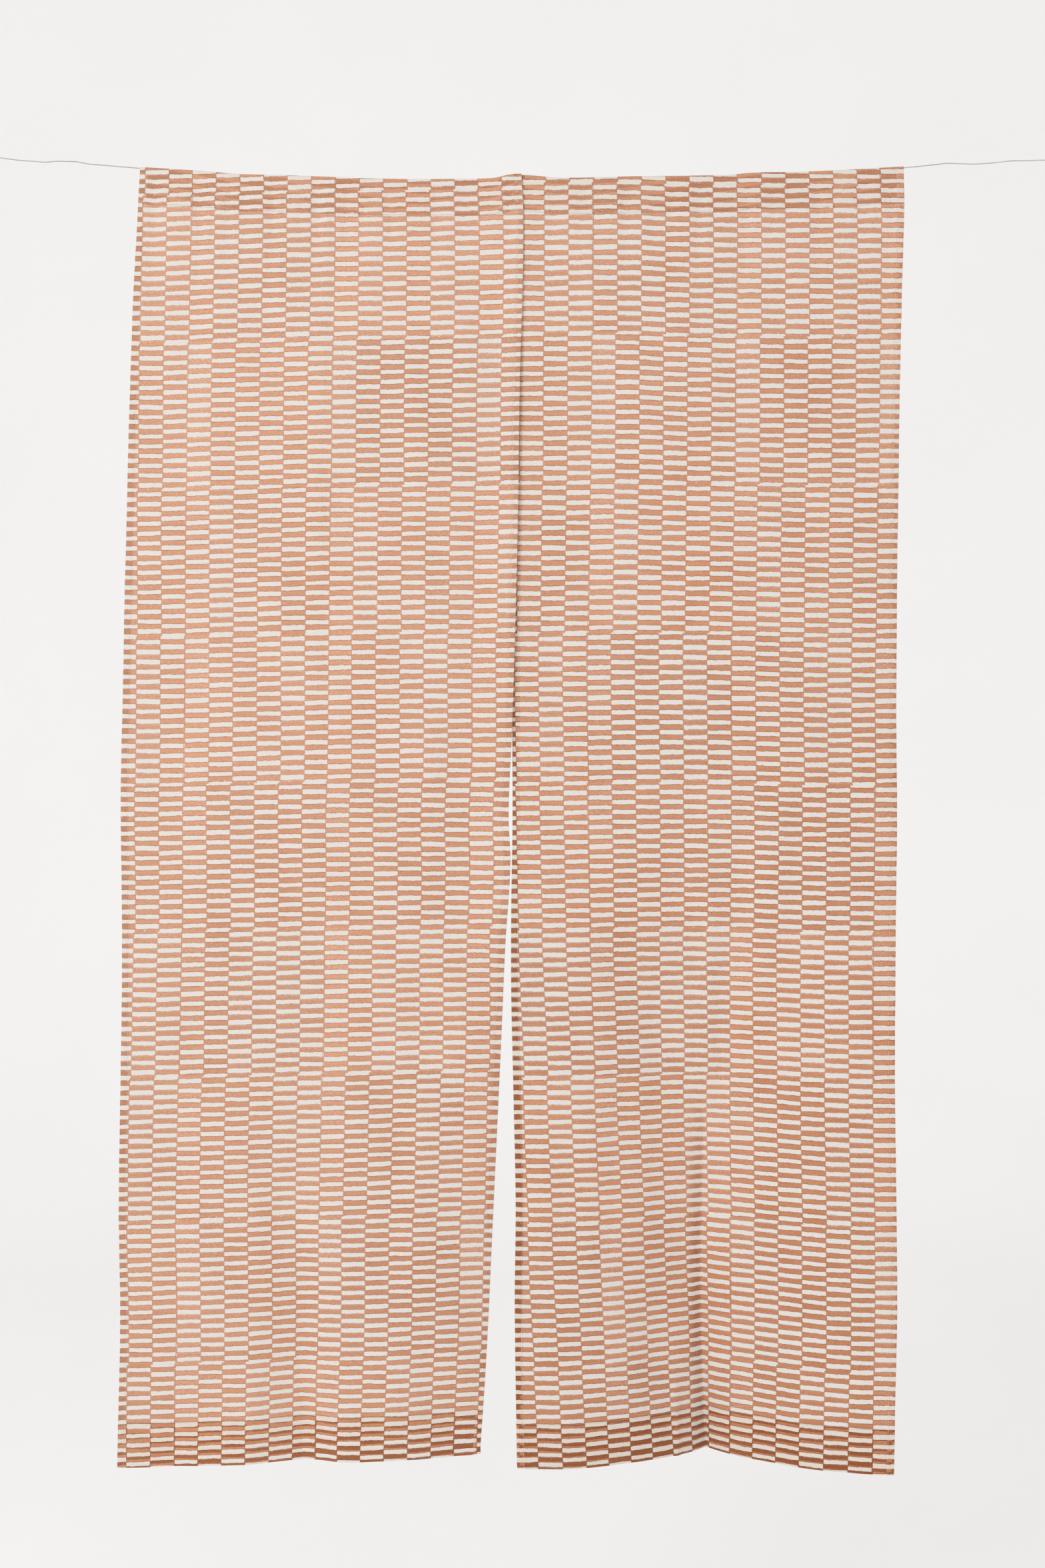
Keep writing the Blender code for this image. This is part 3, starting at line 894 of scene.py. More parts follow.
class Value:
    """Result of a shader node. Sums on such results are written as plain sums."""

    def __init__(self, make, socket):
        self.make = make
        self.socket = socket

    def __add__(self, other):
        return self.make.math("ADD", self, other)

    def __sub__(self, other):
        return self.make.math("SUBTRACT", self, other)

    def __rsub__(self, other):
        return self.make.math("SUBTRACT", other, self)

    def __mul__(self, other):
        return self.make.math("MULTIPLY", self, other)

    def __truediv__(self, other):
        return self.make.math("DIVIDE", self, other)

    def __abs__(self):
        return self.make.math("ABSOLUTE", self)

    __radd__ = __add__
    __rmul__ = __mul__


def swing(value, amount):
    """A chance between 0 and 1, made to swing by half the amount to either side of 0."""
    return (value - 0.5) * amount


class Recipe:
    """Adds shader nodes to a tree. Each call gives back its result as a Value."""

    def __init__(self, tree):
        self.tree = tree

    def node(self, kind, **settings):
        """A new node with some of its settings."""
        made = self.tree.nodes.new(kind)
        for name, value in settings.items():
            setattr(made, name, value)
        return made

    def put(self, socket, value):
        """Give a socket a number, a colour or another node's result."""
        if isinstance(value, Value):
            self.tree.links.new(value.socket, socket)
        else:
            socket.default_value = value

    def fill(self, node, values):
        """Give a node's named inputs their values."""
        for name, value in values.items():
            self.put(node.inputs[name], value)

    def math(self, operation, *values):
        """Result of one sum on up to three values."""
        made = self.node("ShaderNodeMath", operation=operation)
        for socket, value in zip(made.inputs, values):
            self.put(socket, value)
        return Value(self, made.outputs[0])

    def vector(self, x, y, z=0.0):
        """A vector from three values."""
        made = self.node("ShaderNodeCombineXYZ")
        for socket, value in zip(made.inputs, (x, y, z)):
            self.put(socket, value)
        return Value(self, made.outputs[0])

    def parts(self, vector):
        """The three values of a vector or colour."""
        made = self.node("ShaderNodeSeparateXYZ")
        self.put(made.inputs[0], vector)
        return tuple(Value(self, output) for output in made.outputs)

    def chances(self, x, y, z):
        """Three chances between 0 and 1 that stay the same for the same whole numbers."""
        made = self.node("ShaderNodeTexWhiteNoise", noise_dimensions="3D")
        self.put(made.inputs["Vector"], self.vector(x, y, z))
        return self.parts(Value(self, made.outputs["Color"]))

    def noise_node(self, place, scale, detail, roughness):
        """A noise texture node."""
        made = self.node("ShaderNodeTexNoise", noise_dimensions="3D")
        self.fill(made, {"Vector": place, "Scale": scale, "Detail": detail, "Roughness": roughness})
        return made

    def noise(self, place, scale, detail=2.0, roughness=0.5):
        """Smooth noise around 0.5."""
        return Value(self, self.noise_node(place, scale, detail, roughness).outputs["Fac"])

    def noises(self, place, scale):
        """Three smooth noises of one octave, around 0.5."""
        return self.parts(Value(self, self.noise_node(place, scale, 1.0, 0.5).outputs["Color"]))

    def ramp(self, value, start, end, low=0.0, high=1.0):
        """Soft step of a value between start and end, to a range of its own."""
        made = self.node("ShaderNodeMapRange", interpolation_type="SMOOTHSTEP")
        steps = {"Value": value, "From Min": start, "From Max": end, "To Min": low, "To Max": high}
        self.fill(made, steps)
        return Value(self, made.outputs[0])

    def mix(self, share, first, second, blend="MIX"):
        """Mix of two colours."""
        made = self.node("ShaderNodeMix", data_type="RGBA", blend_type=blend)
        self.put(made.inputs[0], share)
        self.put(made.inputs[6], first)
        self.put(made.inputs[7], second)
        return Value(self, made.outputs[2])

    def tint(self, share, colour, factor):
        """A colour multiplied, by a share, by another one."""
        return self.mix(share, colour, self.mix(1.0, colour, factor, "MULTIPLY"))

    def shade(self, colour, factor):
        """A colour made lighter or darker by a factor."""
        made = self.node("ShaderNodeVectorMath", operation="SCALE")
        self.put(made.inputs[0], colour if isinstance(colour, Value) else colour[:3])
        self.put(made.inputs["Scale"], factor)
        return Value(self, made.outputs[0])

    def bump(self, strength, distance, height, normal=None):
        """Normal of a surface raised by a height."""
        made = self.node("ShaderNodeBump")
        self.fill(made, {"Strength": strength, "Distance": distance, "Height": height})
        if normal:
            self.put(made.inputs["Normal"], normal)
        return Value(self, made.outputs["Normal"])

    def attribute(self, name, output):
        """Value of one of the mesh's attributes."""
        return Value(self, self.node("ShaderNodeAttribute", attribute_name=name).outputs[output])

    def place(self):
        """Place in the object's own coordinates."""
        return Value(self, self.node("ShaderNodeTexCoord").outputs["Object"])


def new_material(name):
    """An empty material, the recipe that fills it and its shader."""
    material = bpy.data.materials.new(name)
    material.use_nodes = True
    return material, Recipe(material.node_tree), material.node_tree.nodes["Principled BSDF"]


def block_print():
    """Node group of the print: rounded cream cells left bare between staggered dashes of ink.

    Across and Down count columns and rows. Each impression of the hand block lands a little
    shifted and turned, and repeats the same cut of its cells. Lengths inside a cell are in
    millimetres.
    """
    tree = bpy.data.node_groups.new("block print", "ShaderNodeTree")
    for names, way in ((("Across", "Down", "Seed"), "INPUT"), (("Ink", "Tone", "Rim"), "OUTPUT")):
        for name in names:
            tree.interface.new_socket(name=name, in_out=way, socket_type="NodeSocketFloat")
    make = Recipe(tree)
    given = make.node("NodeGroupInput").outputs
    across, down, seed = (Value(make, given[name]) for name in ("Across", "Down", "Seed"))

    # The hand block, and the place on it
    block_x = make.math("FLOOR", across / BLOCK_COLUMNS)
    block_y = make.math("FLOOR", down / BLOCK_ROWS)
    slip_x, slip_y, turned = make.chances(block_x, block_y, seed)
    strong, dry = make.chances(block_x, block_y, seed + CHARGE_SEED)[:2]
    start_x = across - block_x * BLOCK_COLUMNS
    start_y = down - block_y * BLOCK_ROWS
    slant = make.math("MULTIPLY_ADD", start_y, -BLOCK_SLANT / BLOCK_ROWS, 0.5 * BLOCK_SLANT)
    in_x = start_x + swing(slip_x, BLOCK_SLIP_X) + slant
    in_y = start_y + swing(slip_y, BLOCK_SLIP_Y) + swing(turned, BLOCK_TURN) * (start_x - 0.5 * BLOCK_COLUMNS)
    column = make.math("FLOOR", in_x)
    odd = make.math("FLOORED_MODULO", column, 2.0)
    row_place = make.math("MULTIPLY_ADD", odd, 0.5, in_y)
    row = make.math("FLOOR", row_place)

    # The cell, with wavering sides and rounded corners
    width = COLUMN_PITCH * 1000.0
    height = ROW_PITCH * 1000.0
    x = (make.math("FRACT", in_x) - 0.5) * width
    y = (make.math("FRACT", row_place) - 0.5) * height
    tall, tilt, aside = make.chances(column, row, CELL_SEED)
    on_block = make.vector(in_x * width, row_place * height, column * COLUMNS_APART)
    cut_x = x + swing(aside, CELL_ASIDE)
    cut_y = y + swing(tilt, CELL_TILT) * x
    for scale, sway_x, sway_y in CELL_WAVERS:
        waver_x, waver_y = make.noises(on_block, scale)[:2]
        cut_x = cut_x + swing(waver_x, sway_x)
        cut_y = cut_y + swing(waver_y, sway_y)
    half_height = CELL_HALF_HEIGHT + swing(tall, CELL_TALL)
    over_x = abs(cut_x) - (CELL_HALF_WIDTH - CELL_CORNER)
    over_y = abs(cut_y) - (half_height - CELL_CORNER)
    round_x = make.math("MAXIMUM", over_x, 0.0)
    round_y = make.math("MAXIMUM", over_y, 0.0)
    corner = make.math("SQRT", round_x * round_x + round_y * round_y)
    inside = make.math("MINIMUM", make.math("MAXIMUM", over_x, over_y), 0.0)
    beside = make.math("MINIMUM", start_x, BLOCK_COLUMNS - start_x)
    edge = make.math("MAXIMUM", corner + inside - CELL_CORNER, BLOCK_RIM - beside * width)
    printed = make.ramp(edge, -0.25, 0.25)

    # Bare, thin and scraped places in the ink
    worn = make.math("LESS_THAN", abs(in_x - WORN_COLUMN), 0.5)
    worn_part = worn * make.ramp(abs(in_y - WORN_ROW), 1.5, 5.0, 1.0, 0.3)
    ragged = make.ramp(abs(in_y - 0.5 * BLOCK_ROWS), 6.9, 7.5)
    patchy = make.noise(on_block, 0.20, 4.0, 0.65)
    dryness = make.math("POWER", dry, 4.0)
    missed = patchy + worn_part * WORN_LOSS + dryness * DRY_LOSS + ragged * RAGGED_LOSS
    bare = make.ramp(missed, 0.70, 0.80)
    flecks = make.ramp(make.noise(on_block, 0.42, 3.0, 0.75), 0.52, 0.66)
    thin = worn_part * make.ramp(edge, 0.9, 2.4) * flecks * THIN_LOSS
    whole = 1.0 - make.math("MAXIMUM", bare, thin)
    scanty = make.chances(column, block_y, SCRAPE_SEED)[0]
    scrape = make.noise(make.vector(across * 22.0, row_place * 15.0), 1.0, 3.0)
    low_edge = make.ramp(y, -6.8, -1.5) * make.ramp(edge, 0.2, 3.0, 1.0, 0.0)
    scraped = low_edge * make.ramp(scrape, 0.47, 0.62) * make.ramp(scanty, 0.45, 0.85, 0.0, SCRAPE_LOSS)
    ink = printed * (whole * (1.0 - scraped))

    # Rims, and blots where the ink has pooled
    rim = make.ramp(abs(edge - 0.5), 0.25, 0.80, 1.0, 0.0)
    pooled = make.ramp(make.noise(on_block, 0.33), 0.66, 0.78)
    chance_tone = swing(strong, BLOCK_TONE) + swing(tall, CELL_TONE)
    tone = 1.0 + chance_tone + worn * WORN_TONE + pooled * POOL_TONE
    result = make.node("NodeGroupOutput")
    make.fill(result, {"Ink": ink, "Tone": tone, "Rim": rim})
    return tree


class Weave:
    """The flat cloth under a cotton material: places on it, its threads and its seams."""

    def __init__(self, make, shader):
        self.make = make
        self.flat = Value(make, make.node("ShaderNodeUVMap", uv_map=FLAT_MAP).outputs[0])
        self.across, self.down = make.parts(self.flat)[:2]
        self.side, self.hem, self.top = make.parts(make.attribute(EDGE_MARKS, "Vector"))
        shader.inputs["Specular IOR Level"].default_value = 0.25
        shader.inputs["Sheen Weight"].default_value = 0.12
        shader.inputs["Sheen Roughness"].default_value = 0.5
        make.put(shader.inputs["Normal"], self.surface())

    def stretched(self, across, down, detail):
        """Noise with its own scale across and down the cloth."""
        return self.make.noise(self.make.vector(self.across * across, self.down * down), 1.0, detail)

    def within(self, distance, reach, blur):
        """1 nearer than reach to an edge, 0 beyond it."""
        return self.make.ramp(abs(distance), reach - blur, reach + blur, 1.0, 0.0)

    def surface(self):
        """Normal of threads, slubs, stitch grooves and the puckers along them; keeps the slubs' tone and a
        painted shadow along the stitch lines for the colour.
        """
        make = self.make
        warp = make.math("SINE", self.across * (2.0 * math.pi / WARP_PITCH))
        weft = make.math("SINE", self.down * (2.0 * math.pi / WEFT_PITCH))
        slubs = swing(self.stretched(1500.0, 25.0, 2.0), 1.0) + swing(self.stretched(25.0, 1400.0, 2.0), 1.2)
        from_side = abs(abs(self.side) - SIDE_SEAM)
        from_hem = abs(abs(self.hem) - HEM_SEAM)
        from_top = abs(abs(self.top) - POCKET_SEAM)
        level = make.math("MINIMUM", from_hem, from_top)
        by_side = make.ramp(from_side, 0.0, 0.007, 1.0, 0.0)
        by_level = make.ramp(level, 0.0, 0.010, 1.0, 0.0)
        tugs_down = swing(self.stretched(12.0, 190.0, 1.0), 1.0)
        tugs_across = swing(self.stretched(190.0, 12.0, 1.0), 1.0)
        pucker = by_side * tugs_down + by_level * tugs_across
        groove = make.ramp(from_side, 0.0, 0.0009, -1.0, 0.0) + make.ramp(level, 0.0, 0.0009, -1.0, 0.0)
        # Painted shadow: a darker line along the stitching, standing in for the shade in the seam's groove
        painted_seam_shadow = make.ramp(from_side, 0.0, 0.0008, 0.93, 1.0) * make.ramp(level, 0.0, 0.0010, 0.87, 1.0)
        self.slub_tone_and_seam_shadow = painted_seam_shadow * make.math("MULTIPLY_ADD", slubs, 0.06, 1.0)
        sewn = make.bump(0.7, SEAM_BUMP, make.math("MULTIPLY_ADD", groove, 0.3, pucker))
        woven = make.math("MULTIPLY_ADD", warp * weft, 0.35, slubs)
        return make.bump(0.35, THREAD_BUMP, woven, sewn)

    def stamp(self, group, print_start, x, y):
        """The block print at a place on the flat cloth."""
        first_column, first_row, seed = print_start
        made = self.make.node("ShaderNodeGroup", node_tree=group)
        self.make.fill(made, {
            "Across": self.make.math("MULTIPLY_ADD", x, 1.0 / COLUMN_PITCH, first_column),
            "Down": self.make.math("MULTIPLY_ADD", y, 1.0 / ROW_PITCH, first_row),
            "Seed": seed,
        })
        return tuple(Value(self.make, made.outputs[name]) for name in ("Ink", "Tone", "Rim"))


def printed_cotton(cloth, settings, group):
    """Printed face of the cloth, with painted shade where a second layer lies behind it and keeps back the
    light that comes through a single layer, and with the print of that layer showing through.
    """
    material, make, shader = new_material(f"printed cotton, {cloth.side}")
    weave = Weave(make, shader)
    flat, across, down, side = weave.flat, weave.across, weave.down, weave.side
    in_side = weave.within(side, SIDE_HEM_WIDTH, SIDE_BLUR)
    in_hem = weave.within(weave.hem, HEM_DEPTH, LEVEL_BLUR)
    in_pocket = weave.within(weave.top, POCKET_DEPTH, LEVEL_BLUR)
    # Painted shade of the second layer in the side hems, the hem and the pocket; at the right panel's left
    # edge the side hem's share also paints the shadow of the left panel lying over it
    at_left, at_right = cloth.side_shade
    by_side = make.math("MULTIPLY_ADD", make.math("GREATER_THAN", side, 0.0), at_left - at_right, at_right)
    by_level = make.math("MAXIMUM", in_hem, in_pocket * POCKET_SHADE)
    layer_shade_and_show_through = make.math("MAXIMUM", in_side * by_side, by_level)
    under_x = across - side * 2.0 * in_side
    under_y = down + weave.hem * 2.0 * in_hem + weave.top * -2.0 * in_pocket
    ink, tone, rim = weave.stamp(group, cloth.print_start, across, down)
    under = weave.stamp(group, cloth.print_start, under_x, under_y)[0]

    # Depth of the ink: from zone to zone, from streak to streak and in the grain of the cloth
    start, per_down, per_across = cloth.ink_depth
    zones = swing(make.noise(flat, 21.0), 0.5) + swing(make.noise(flat, 5.0, 1.0), 0.5)
    deep = start + down * per_down + across * per_across + zones
    inked = make.mix(make.ramp(deep, 0.0, 1.0), (*settings.fresh_ink, 1.0), (*settings.deep_ink, 1.0))
    grain = make.noise(flat, 800.0, 2.0, 0.6)
    streaks = make.ramp(weave.stretched(210.0, 880.0, 2.0), 0.34, 0.66, 0.90, 1.10)
    inked = make.shade(inked, tone * (streaks * make.ramp(grain, 0.35, 0.65, 0.79, 1.19)))
    # Painted shade on the left wall of the V-shaped fold: the ink is darkened there, and the cream a little
    crease_shade = make.attribute(CREASE_SHADE_MARK, "Fac")
    inked = make.tint(crease_shade, make.tint(rim, inked, RIM_INK), CREASE_SHADE_INK)
    soft = make.ramp(make.noise(flat, 260.0), 0.3, 0.7, 0.985, 1.015)
    cream = make.tint(crease_shade, make.shade((*settings.cream, 1.0), soft), CREASE_SHADE_CREAM)

    # What the layer behind does to them: painted shade standing in for the light that a second layer keeps
    # from coming through, with the print of that layer showing through
    behind_ink = make.mix(under, (*settings.ink_over_cream, 1.0), (*settings.ink_over_ink, 1.0))
    behind_cream = make.mix(under, cloth.double_cream, (*settings.cream_over_ink, 1.0))
    inked = make.tint(layer_shade_and_show_through, inked, behind_ink)
    cream = make.tint(layer_shade_and_show_through, cream, behind_cream)
    # Slub tone and the painted shadow along the seams, over the colour
    colour = make.shade(make.mix(ink, cream, inked), weave.slub_tone_and_seam_shadow)
    roughness = make.ramp(grain, 0.2, 0.8, 0.80, 0.92)
    make.fill(shader, {"Base Color": colour, "Roughness": roughness})
    return material


def reverse_cotton(cloth, settings, group):
    """Back of the cloth, where the ink has only soaked through in part."""
    material, make, shader = new_material(f"reverse of the cotton, {cloth.side}")
    weave = Weave(make, shader)
    ink = weave.stamp(group, cloth.print_start, weave.across, weave.down)[0]
    soaked = make.noise(weave.flat, 420.0, 4.0, 0.7)
    share = ink * make.ramp(soaked, 0.3, 0.7, 0.42, 0.68)
    colour = make.mix(share, (*settings.cream, 1.0), (*settings.fresh_ink, 1.0))
    # Slub tone and the painted shadow along the seams, over the colour
    make.fill(shader, {
        "Base Color": make.shade(colour, weave.slub_tone_and_seam_shadow),
        "Roughness": make.ramp(soaked, 0.2, 0.8, 0.82, 0.93),
    })
    return material


def cotton_thread(name, colour):
    """Undyed sewing thread with the twist of its plies."""
    material, make, shader = new_material(name)
    twist = make.noise(make.place(), 2600.0)
    make.fill(shader, {
        "Base Color": make.shade((*colour, 1.0), make.ramp(twist, 0.3, 0.7, 0.88, 1.06)),
        "Roughness": make.ramp(twist, 0.3, 0.7, 0.65, 0.8),
        "Normal": make.bump(0.4, 0.0001, twist),
        "Sheen Weight": 0.2,
    })
    return material


def drawn_steel(name, colour, stretch):
    """Grey metal, streaked along its length, with dull and bright places."""
    material, make, shader = new_material(name)
    place = make.place()
    turned = make.node("ShaderNodeMapping")
    make.fill(turned, {"Vector": place, "Scale": stretch})
    streaks = make.noise(Value(make, turned.outputs[0]), 1.0, 3.0, 0.6)
    dull = make.noise(place, 60.0, 3.0)
    bright = (*colour, 1.0)
    dark = tuple(0.62 * part for part in colour) + (1.0,)
    make.fill(shader, {
        "Base Color": make.mix(make.ramp(streaks, 0.3, 0.75), bright, dark),
        "Roughness": make.ramp(streaks + dull, 0.7, 1.3, 0.26, 0.52),
        "Normal": make.bump(0.15, 0.0002, streaks),
        "Metallic": 1.0,
    })
    return material


def pale_ground(name, colour):
    """Matt painted floor and wall."""
    material, make, shader = new_material(name)
    cloud = make.noise(make.place(), 1.2)
    make.fill(shader, {
        "Base Color": make.shade((*colour, 1.0), make.ramp(cloud, 0.3, 0.7, 0.99, 1.0)),
        "Roughness": 0.95,
        "Specular IOR Level": 0.1,
    })
    return material


def link(piece):
    """Put a finished piece in the scene."""
    bpy.context.scene.collection.objects.link(piece)
    return piece


def add_piece(name, shape, *materials):
    """Put a finished shape in the scene as a smooth piece."""
    mesh = bpy.data.meshes.new(name)
    shape.to_mesh(mesh)
    shape.free()
    mesh.shade_smooth()
    for material in materials:
        mesh.materials.append(material)
    return link(bpy.data.objects.new(name, mesh))


def flat_marks(cloth, places, fronts):
    """For each point of the sheet, its place on the flat cloth and its distances from the edges.

    The distances are from the nearer side edge, from the hem's fold and from the pocket's turn.
    """
    hem_turn = fronts[0] - TURN_STEPS // 2
    pocket_turn = fronts[-1] + TURN_STEPS // 2
    run = [[0.0] * len(places[0])]
    for before, after in zip(places, places[1:]):
        run.append([total + (there - here).length for total, here, there in zip(run[-1], before, after)])
    flat = []
    marks = []
    for number, row in enumerate(places):
        reach = [0.0]
        for here, there in zip(row, row[1:]):
            reach.append(reach[-1] + (there - here).length)
        nearest = min(max(number, fronts[0]), fronts[-1])
        width = reach[-1]
        for index, front in enumerate(places[nearest]):
            beyond = run[number][index] - run[nearest][index]
            across = cloth.across(reach[index], width, front.z)
            flat.append((across, cloth.down(front.x, front.z) - beyond))
            from_left = reach[index]
            marks.append((
                from_left if from_left < 0.5 * width else from_left - width,
                run[number][index] - run[hem_turn][index],
                run[pocket_turn][index] - run[number][index],
            ))
    return flat, marks


def add_sheet(name, cloth, face, reverse):
    """The fine cloth: a grid laid along the cloth's path, thickened, with its place on the flat cloth."""
    columns = cloth.grid_columns()
    rows = cloth.grid_rows()
    across_steps = len(columns) - 1
    down_steps = len(rows) - 1
    places = [[cloth.point(column, fall, turn) for column in columns] for fall, turn in rows]
    fronts = [index for index, (fall, turn) in enumerate(rows) if turn == 0.0]
    flat, marks = flat_marks(cloth, places, fronts)
    shape = bmesh.new()
    bmesh.ops.create_grid(shape, x_segments=across_steps, y_segments=down_steps, size=1.0)
    uv_map = shape.loops.layers.uv.new(FLAT_MAP)
    from_edges = shape.verts.layers.float_vector.new(EDGE_MARKS)
    crease_shade = shape.verts.layers.float.new(CREASE_SHADE_MARK)
    deform = shape.verts.layers.deform.new()
    for vertex in shape.verts:
        column = round((vertex.co.x + 1.0) * 0.5 * across_steps)
        row = round((vertex.co.y + 1.0) * 0.5 * down_steps)
        number = row * len(columns) + column
        vertex.index = number
        vertex.co = places[row][column]
        vertex[from_edges] = marks[number]
        # Share of the painted shade by the V-shaped fold, read by the material
        vertex[crease_shade] = cloth.painted_crease_shade(vertex.co.x, vertex.co.z)
        vertex[deform][0] = cloth.thickness(columns[column]) / cloth.hemmed
    for sheet_face in shape.faces:
        for corner in sheet_face.loops:
            corner[uv_map].uv = flat[corner.vert.index]
    piece = add_piece(name, shape, face, reverse)
    group = piece.vertex_groups.new(name="thickness")
    shell = piece.modifiers.new("thickness", "SOLIDIFY")
    shell.thickness = cloth.hemmed
    shell.offset = 0.0
    shell.vertex_group = group.name
    shell.use_even_offset = True
    shell.material_offset = 1
    return piece


def stitch_lines(cloth, pitch):
    """The four seams of a panel: for each, whether it runs across, and its stitches as (column, fall)."""
    reach = NOMINAL_DROP / pitch
    for column in (STITCH_COLUMN, cloth.columns - STITCH_COLUMN):
        yield False, [(column, (step + 0.5) / reach) for step in range(int(reach))]
    width = cloth.column_x(cloth.columns, MIDDLE_Z) - cloth.column_x(0, MIDDLE_Z)
    for fall in (POCKET_SEAM / NOMINAL_DROP, 1.0 - HEM_SEAM / NOMINAL_DROP):
        inner = spread(SEAM_START, cloth.columns - SEAM_START, int(width / pitch))
        yield True, [(column, fall) for column in inner]


def stitch_places(cloth, pitch):
    """Places of all stitches of a panel, on its front and on its back, as matrices."""
    for across, line in stitch_lines(cloth, pitch):
        step_column, step_fall = (COLUMN_STEP, 0.0) if across else (0.0, FALL_STEP)
        for column, fall in line:
            here = cloth.point(column, fall, 0.0)
            ahead = cloth.point(column + step_column, fall + step_fall, 0.0) - here
            beside = cloth.point(column + COLUMN_STEP - step_column, fall + FALL_STEP - step_fall, 0.0) - here
            along = ahead.normalized()
            out = along.cross(beside).normalized()
            if out.y > 0.0:
                out = -out
            doubled = across or fall < POCKET_DEPTH / NOMINAL_DROP or fall > 1.0 - HEM_DEPTH / NOMINAL_DROP
            behind = cloth.point(column, fall, math.pi if doubled else 0.0)
            side = along.cross(out)
            lift = 0.5 * cloth.thickness(column) - STITCH_SINK
            for centre, way in ((here, out), (behind, -out)):
                turned = Matrix((along, side, way)).transposed().to_4x4()
                yield Matrix.Translation(centre + way * lift) @ turned


def add_thread(shape, cloth, route):
    """One loose thread end: a thin tube along a route over the cloth's front."""
    last = len(route) - 1
    along_x = Curve(*((float(number), x) for number, (x, z) in enumerate(route)))
    along_z = Curve(*((float(number), z) for number, (x, z) in enumerate(route)))
    points = []
    for place in spread(0.0, float(last), THREAD_STEPS * last):
        x = along_x.at(place)
        z = along_z.at(place)
        lift = THREAD_RADIUS + THREAD_LIFT * math.sin(math.pi * (LIFT_START + LIFT_SPAN * place / last))
        points.append(Vector((x, cloth.face_depth(x, z) - lift, z)))
    rings = []
    for before, point, after in zip([points[0]] + points, points, points[1:] + [points[-1]]):
        turned = (after - before).to_track_quat("Z", "Y").to_matrix().to_4x4()
        made = bmesh.ops.create_circle(
            shape,
            segments=THREAD_SIDES,
            radius=THREAD_RADIUS,
            matrix=Matrix.Translation(point) @ turned,
        )
        rings.append(made["verts"])
    for near, far in zip(rings, rings[1:]):
        edges = {edge for vertex in near + far for edge in vertex.link_edges if len(edge.link_faces) < 2}
        hoops = [edge for edge in edges if set(edge.verts) <= set(near) or set(edge.verts) <= set(far)]
        bmesh.ops.bridge_loops(shape, edges=hoops)
    for ring in (rings[0], rings[-1]):
        bmesh.ops.contextual_create(shape, geom=ring)


def add_stitches(name, cloth, settings, thread, panel):
    """All stitches of one panel, each a small rounded dash of thread half sunk in the cloth."""
    shape = bmesh.new()
    bmesh.ops.create_icosphere(
        shape,
        subdivisions=1,
        radius=1.0,
        matrix=Matrix.Diagonal((STITCH_SHARE * settings.stitch_pitch, STITCH_RADIUS, STITCH_RADIUS, 1.0)),
    )
    stitch = bpy.data.meshes.new("one stitch")
    shape.to_mesh(stitch)
    shape.clear()
    for place in stitch_places(cloth, settings.stitch_pitch):
        copy = stitch.copy()
        copy.transform(place)
        shape.from_mesh(copy)
        bpy.data.meshes.remove(copy)
    bpy.data.meshes.remove(stitch)
    for route in cloth.threads:
        add_thread(shape, cloth, route)
    bmesh.ops.recalc_face_normals(shape, faces=shape.faces)
    piece = add_piece(name, shape, thread)
    piece.parent = panel
    return piece


class CottonSettings(bpy.types.PropertyGroup):
    """Sizes and colours of the cloth."""

    cloth_thickness: FloatProperty(
        name="Cloth thickness",
        description="Thickness of the single cloth",
        default=0.0006,
        min=0.0003,
        max=0.0012,
        subtype="DISTANCE",
        unit="LENGTH",
    )
    side_hem_thickness: FloatProperty(
        name="Side hem thickness",
        description="Thickness of the folded hems at both sides of a panel",
        default=0.0013,
        min=0.0006,
        max=0.0014,
        subtype="DISTANCE",
        unit="LENGTH",
    )
    stitch_pitch: FloatProperty(
        name="Stitch pitch",
        description="Distance from one stitch to the next",
        default=0.0026,
        min=0.0015,
        max=0.0050,
        subtype="DISTANCE",
        unit="LENGTH",
    )
    cream: FloatVectorProperty(
        name="Cream",
        description="Undyed cotton",
        default=(0.629, 0.596, 0.562),
        min=0.0,
        max=1.0,
        subtype="COLOR",
    )
    fresh_ink: FloatVectorProperty(
        name="Light ink",
        description="Terracotta where the block was charged thinly",
        default=(0.541, 0.284, 0.179),
        min=0.0,
        max=1.0,
        subtype="COLOR",
    )
    deep_ink: FloatVectorProperty(
        name="Deep ink",
        description="Terracotta where the block was charged fully",
        default=(0.444, 0.186, 0.092),
        min=0.0,
        max=1.0,
        subtype="COLOR",
    )
    # These three colours paint the shade of a second layer behind the cloth, with its print showing through
    ink_over_cream: FloatVectorProperty(
        name="Ink before cream",
        description="What bare cloth behind the printed cloth does to its ink",
        default=(0.93, 0.83, 0.72),
        min=0.0,
        max=1.0,
        subtype="COLOR",
    )
    ink_over_ink: FloatVectorProperty(
        name="Ink before ink",
        description="What printed cloth behind the printed cloth does to its ink",
        default=(0.565, 0.395, 0.255),
        min=0.0,
        max=1.0,
        subtype="COLOR",
    )
    cream_over_ink: FloatVectorProperty(
        name="Cream before ink",
        description="What printed cloth behind bare cloth does to its cream",
        default=(0.985, 0.935, 0.885),
        min=0.0,
        max=1.0,
        subtype="COLOR",
    )
    thread: FloatVectorProperty(
        name="Thread",
        description="Undyed sewing thread",
        default=(0.82, 0.74, 0.64),
        min=0.0,
        max=1.0,
        subtype="COLOR",
    )


class MetalSettings(bpy.types.PropertyGroup):
    """Colours of the wire and of its wall eyes."""

    steel: FloatVectorProperty(
        name="Steel wire",
        description="Dull drawn steel",
        default=(0.50, 0.50, 0.48),
        min=0.0,
        max=1.0,
        subtype="COLOR",
    )
    zinc: FloatVectorProperty(
        name="Zinc",
        description="Zinc-plated steel of the wall eyes",
        default=(0.66, 0.67, 0.67),
        min=0.0,
        max=1.0,
        subtype="COLOR",
    )


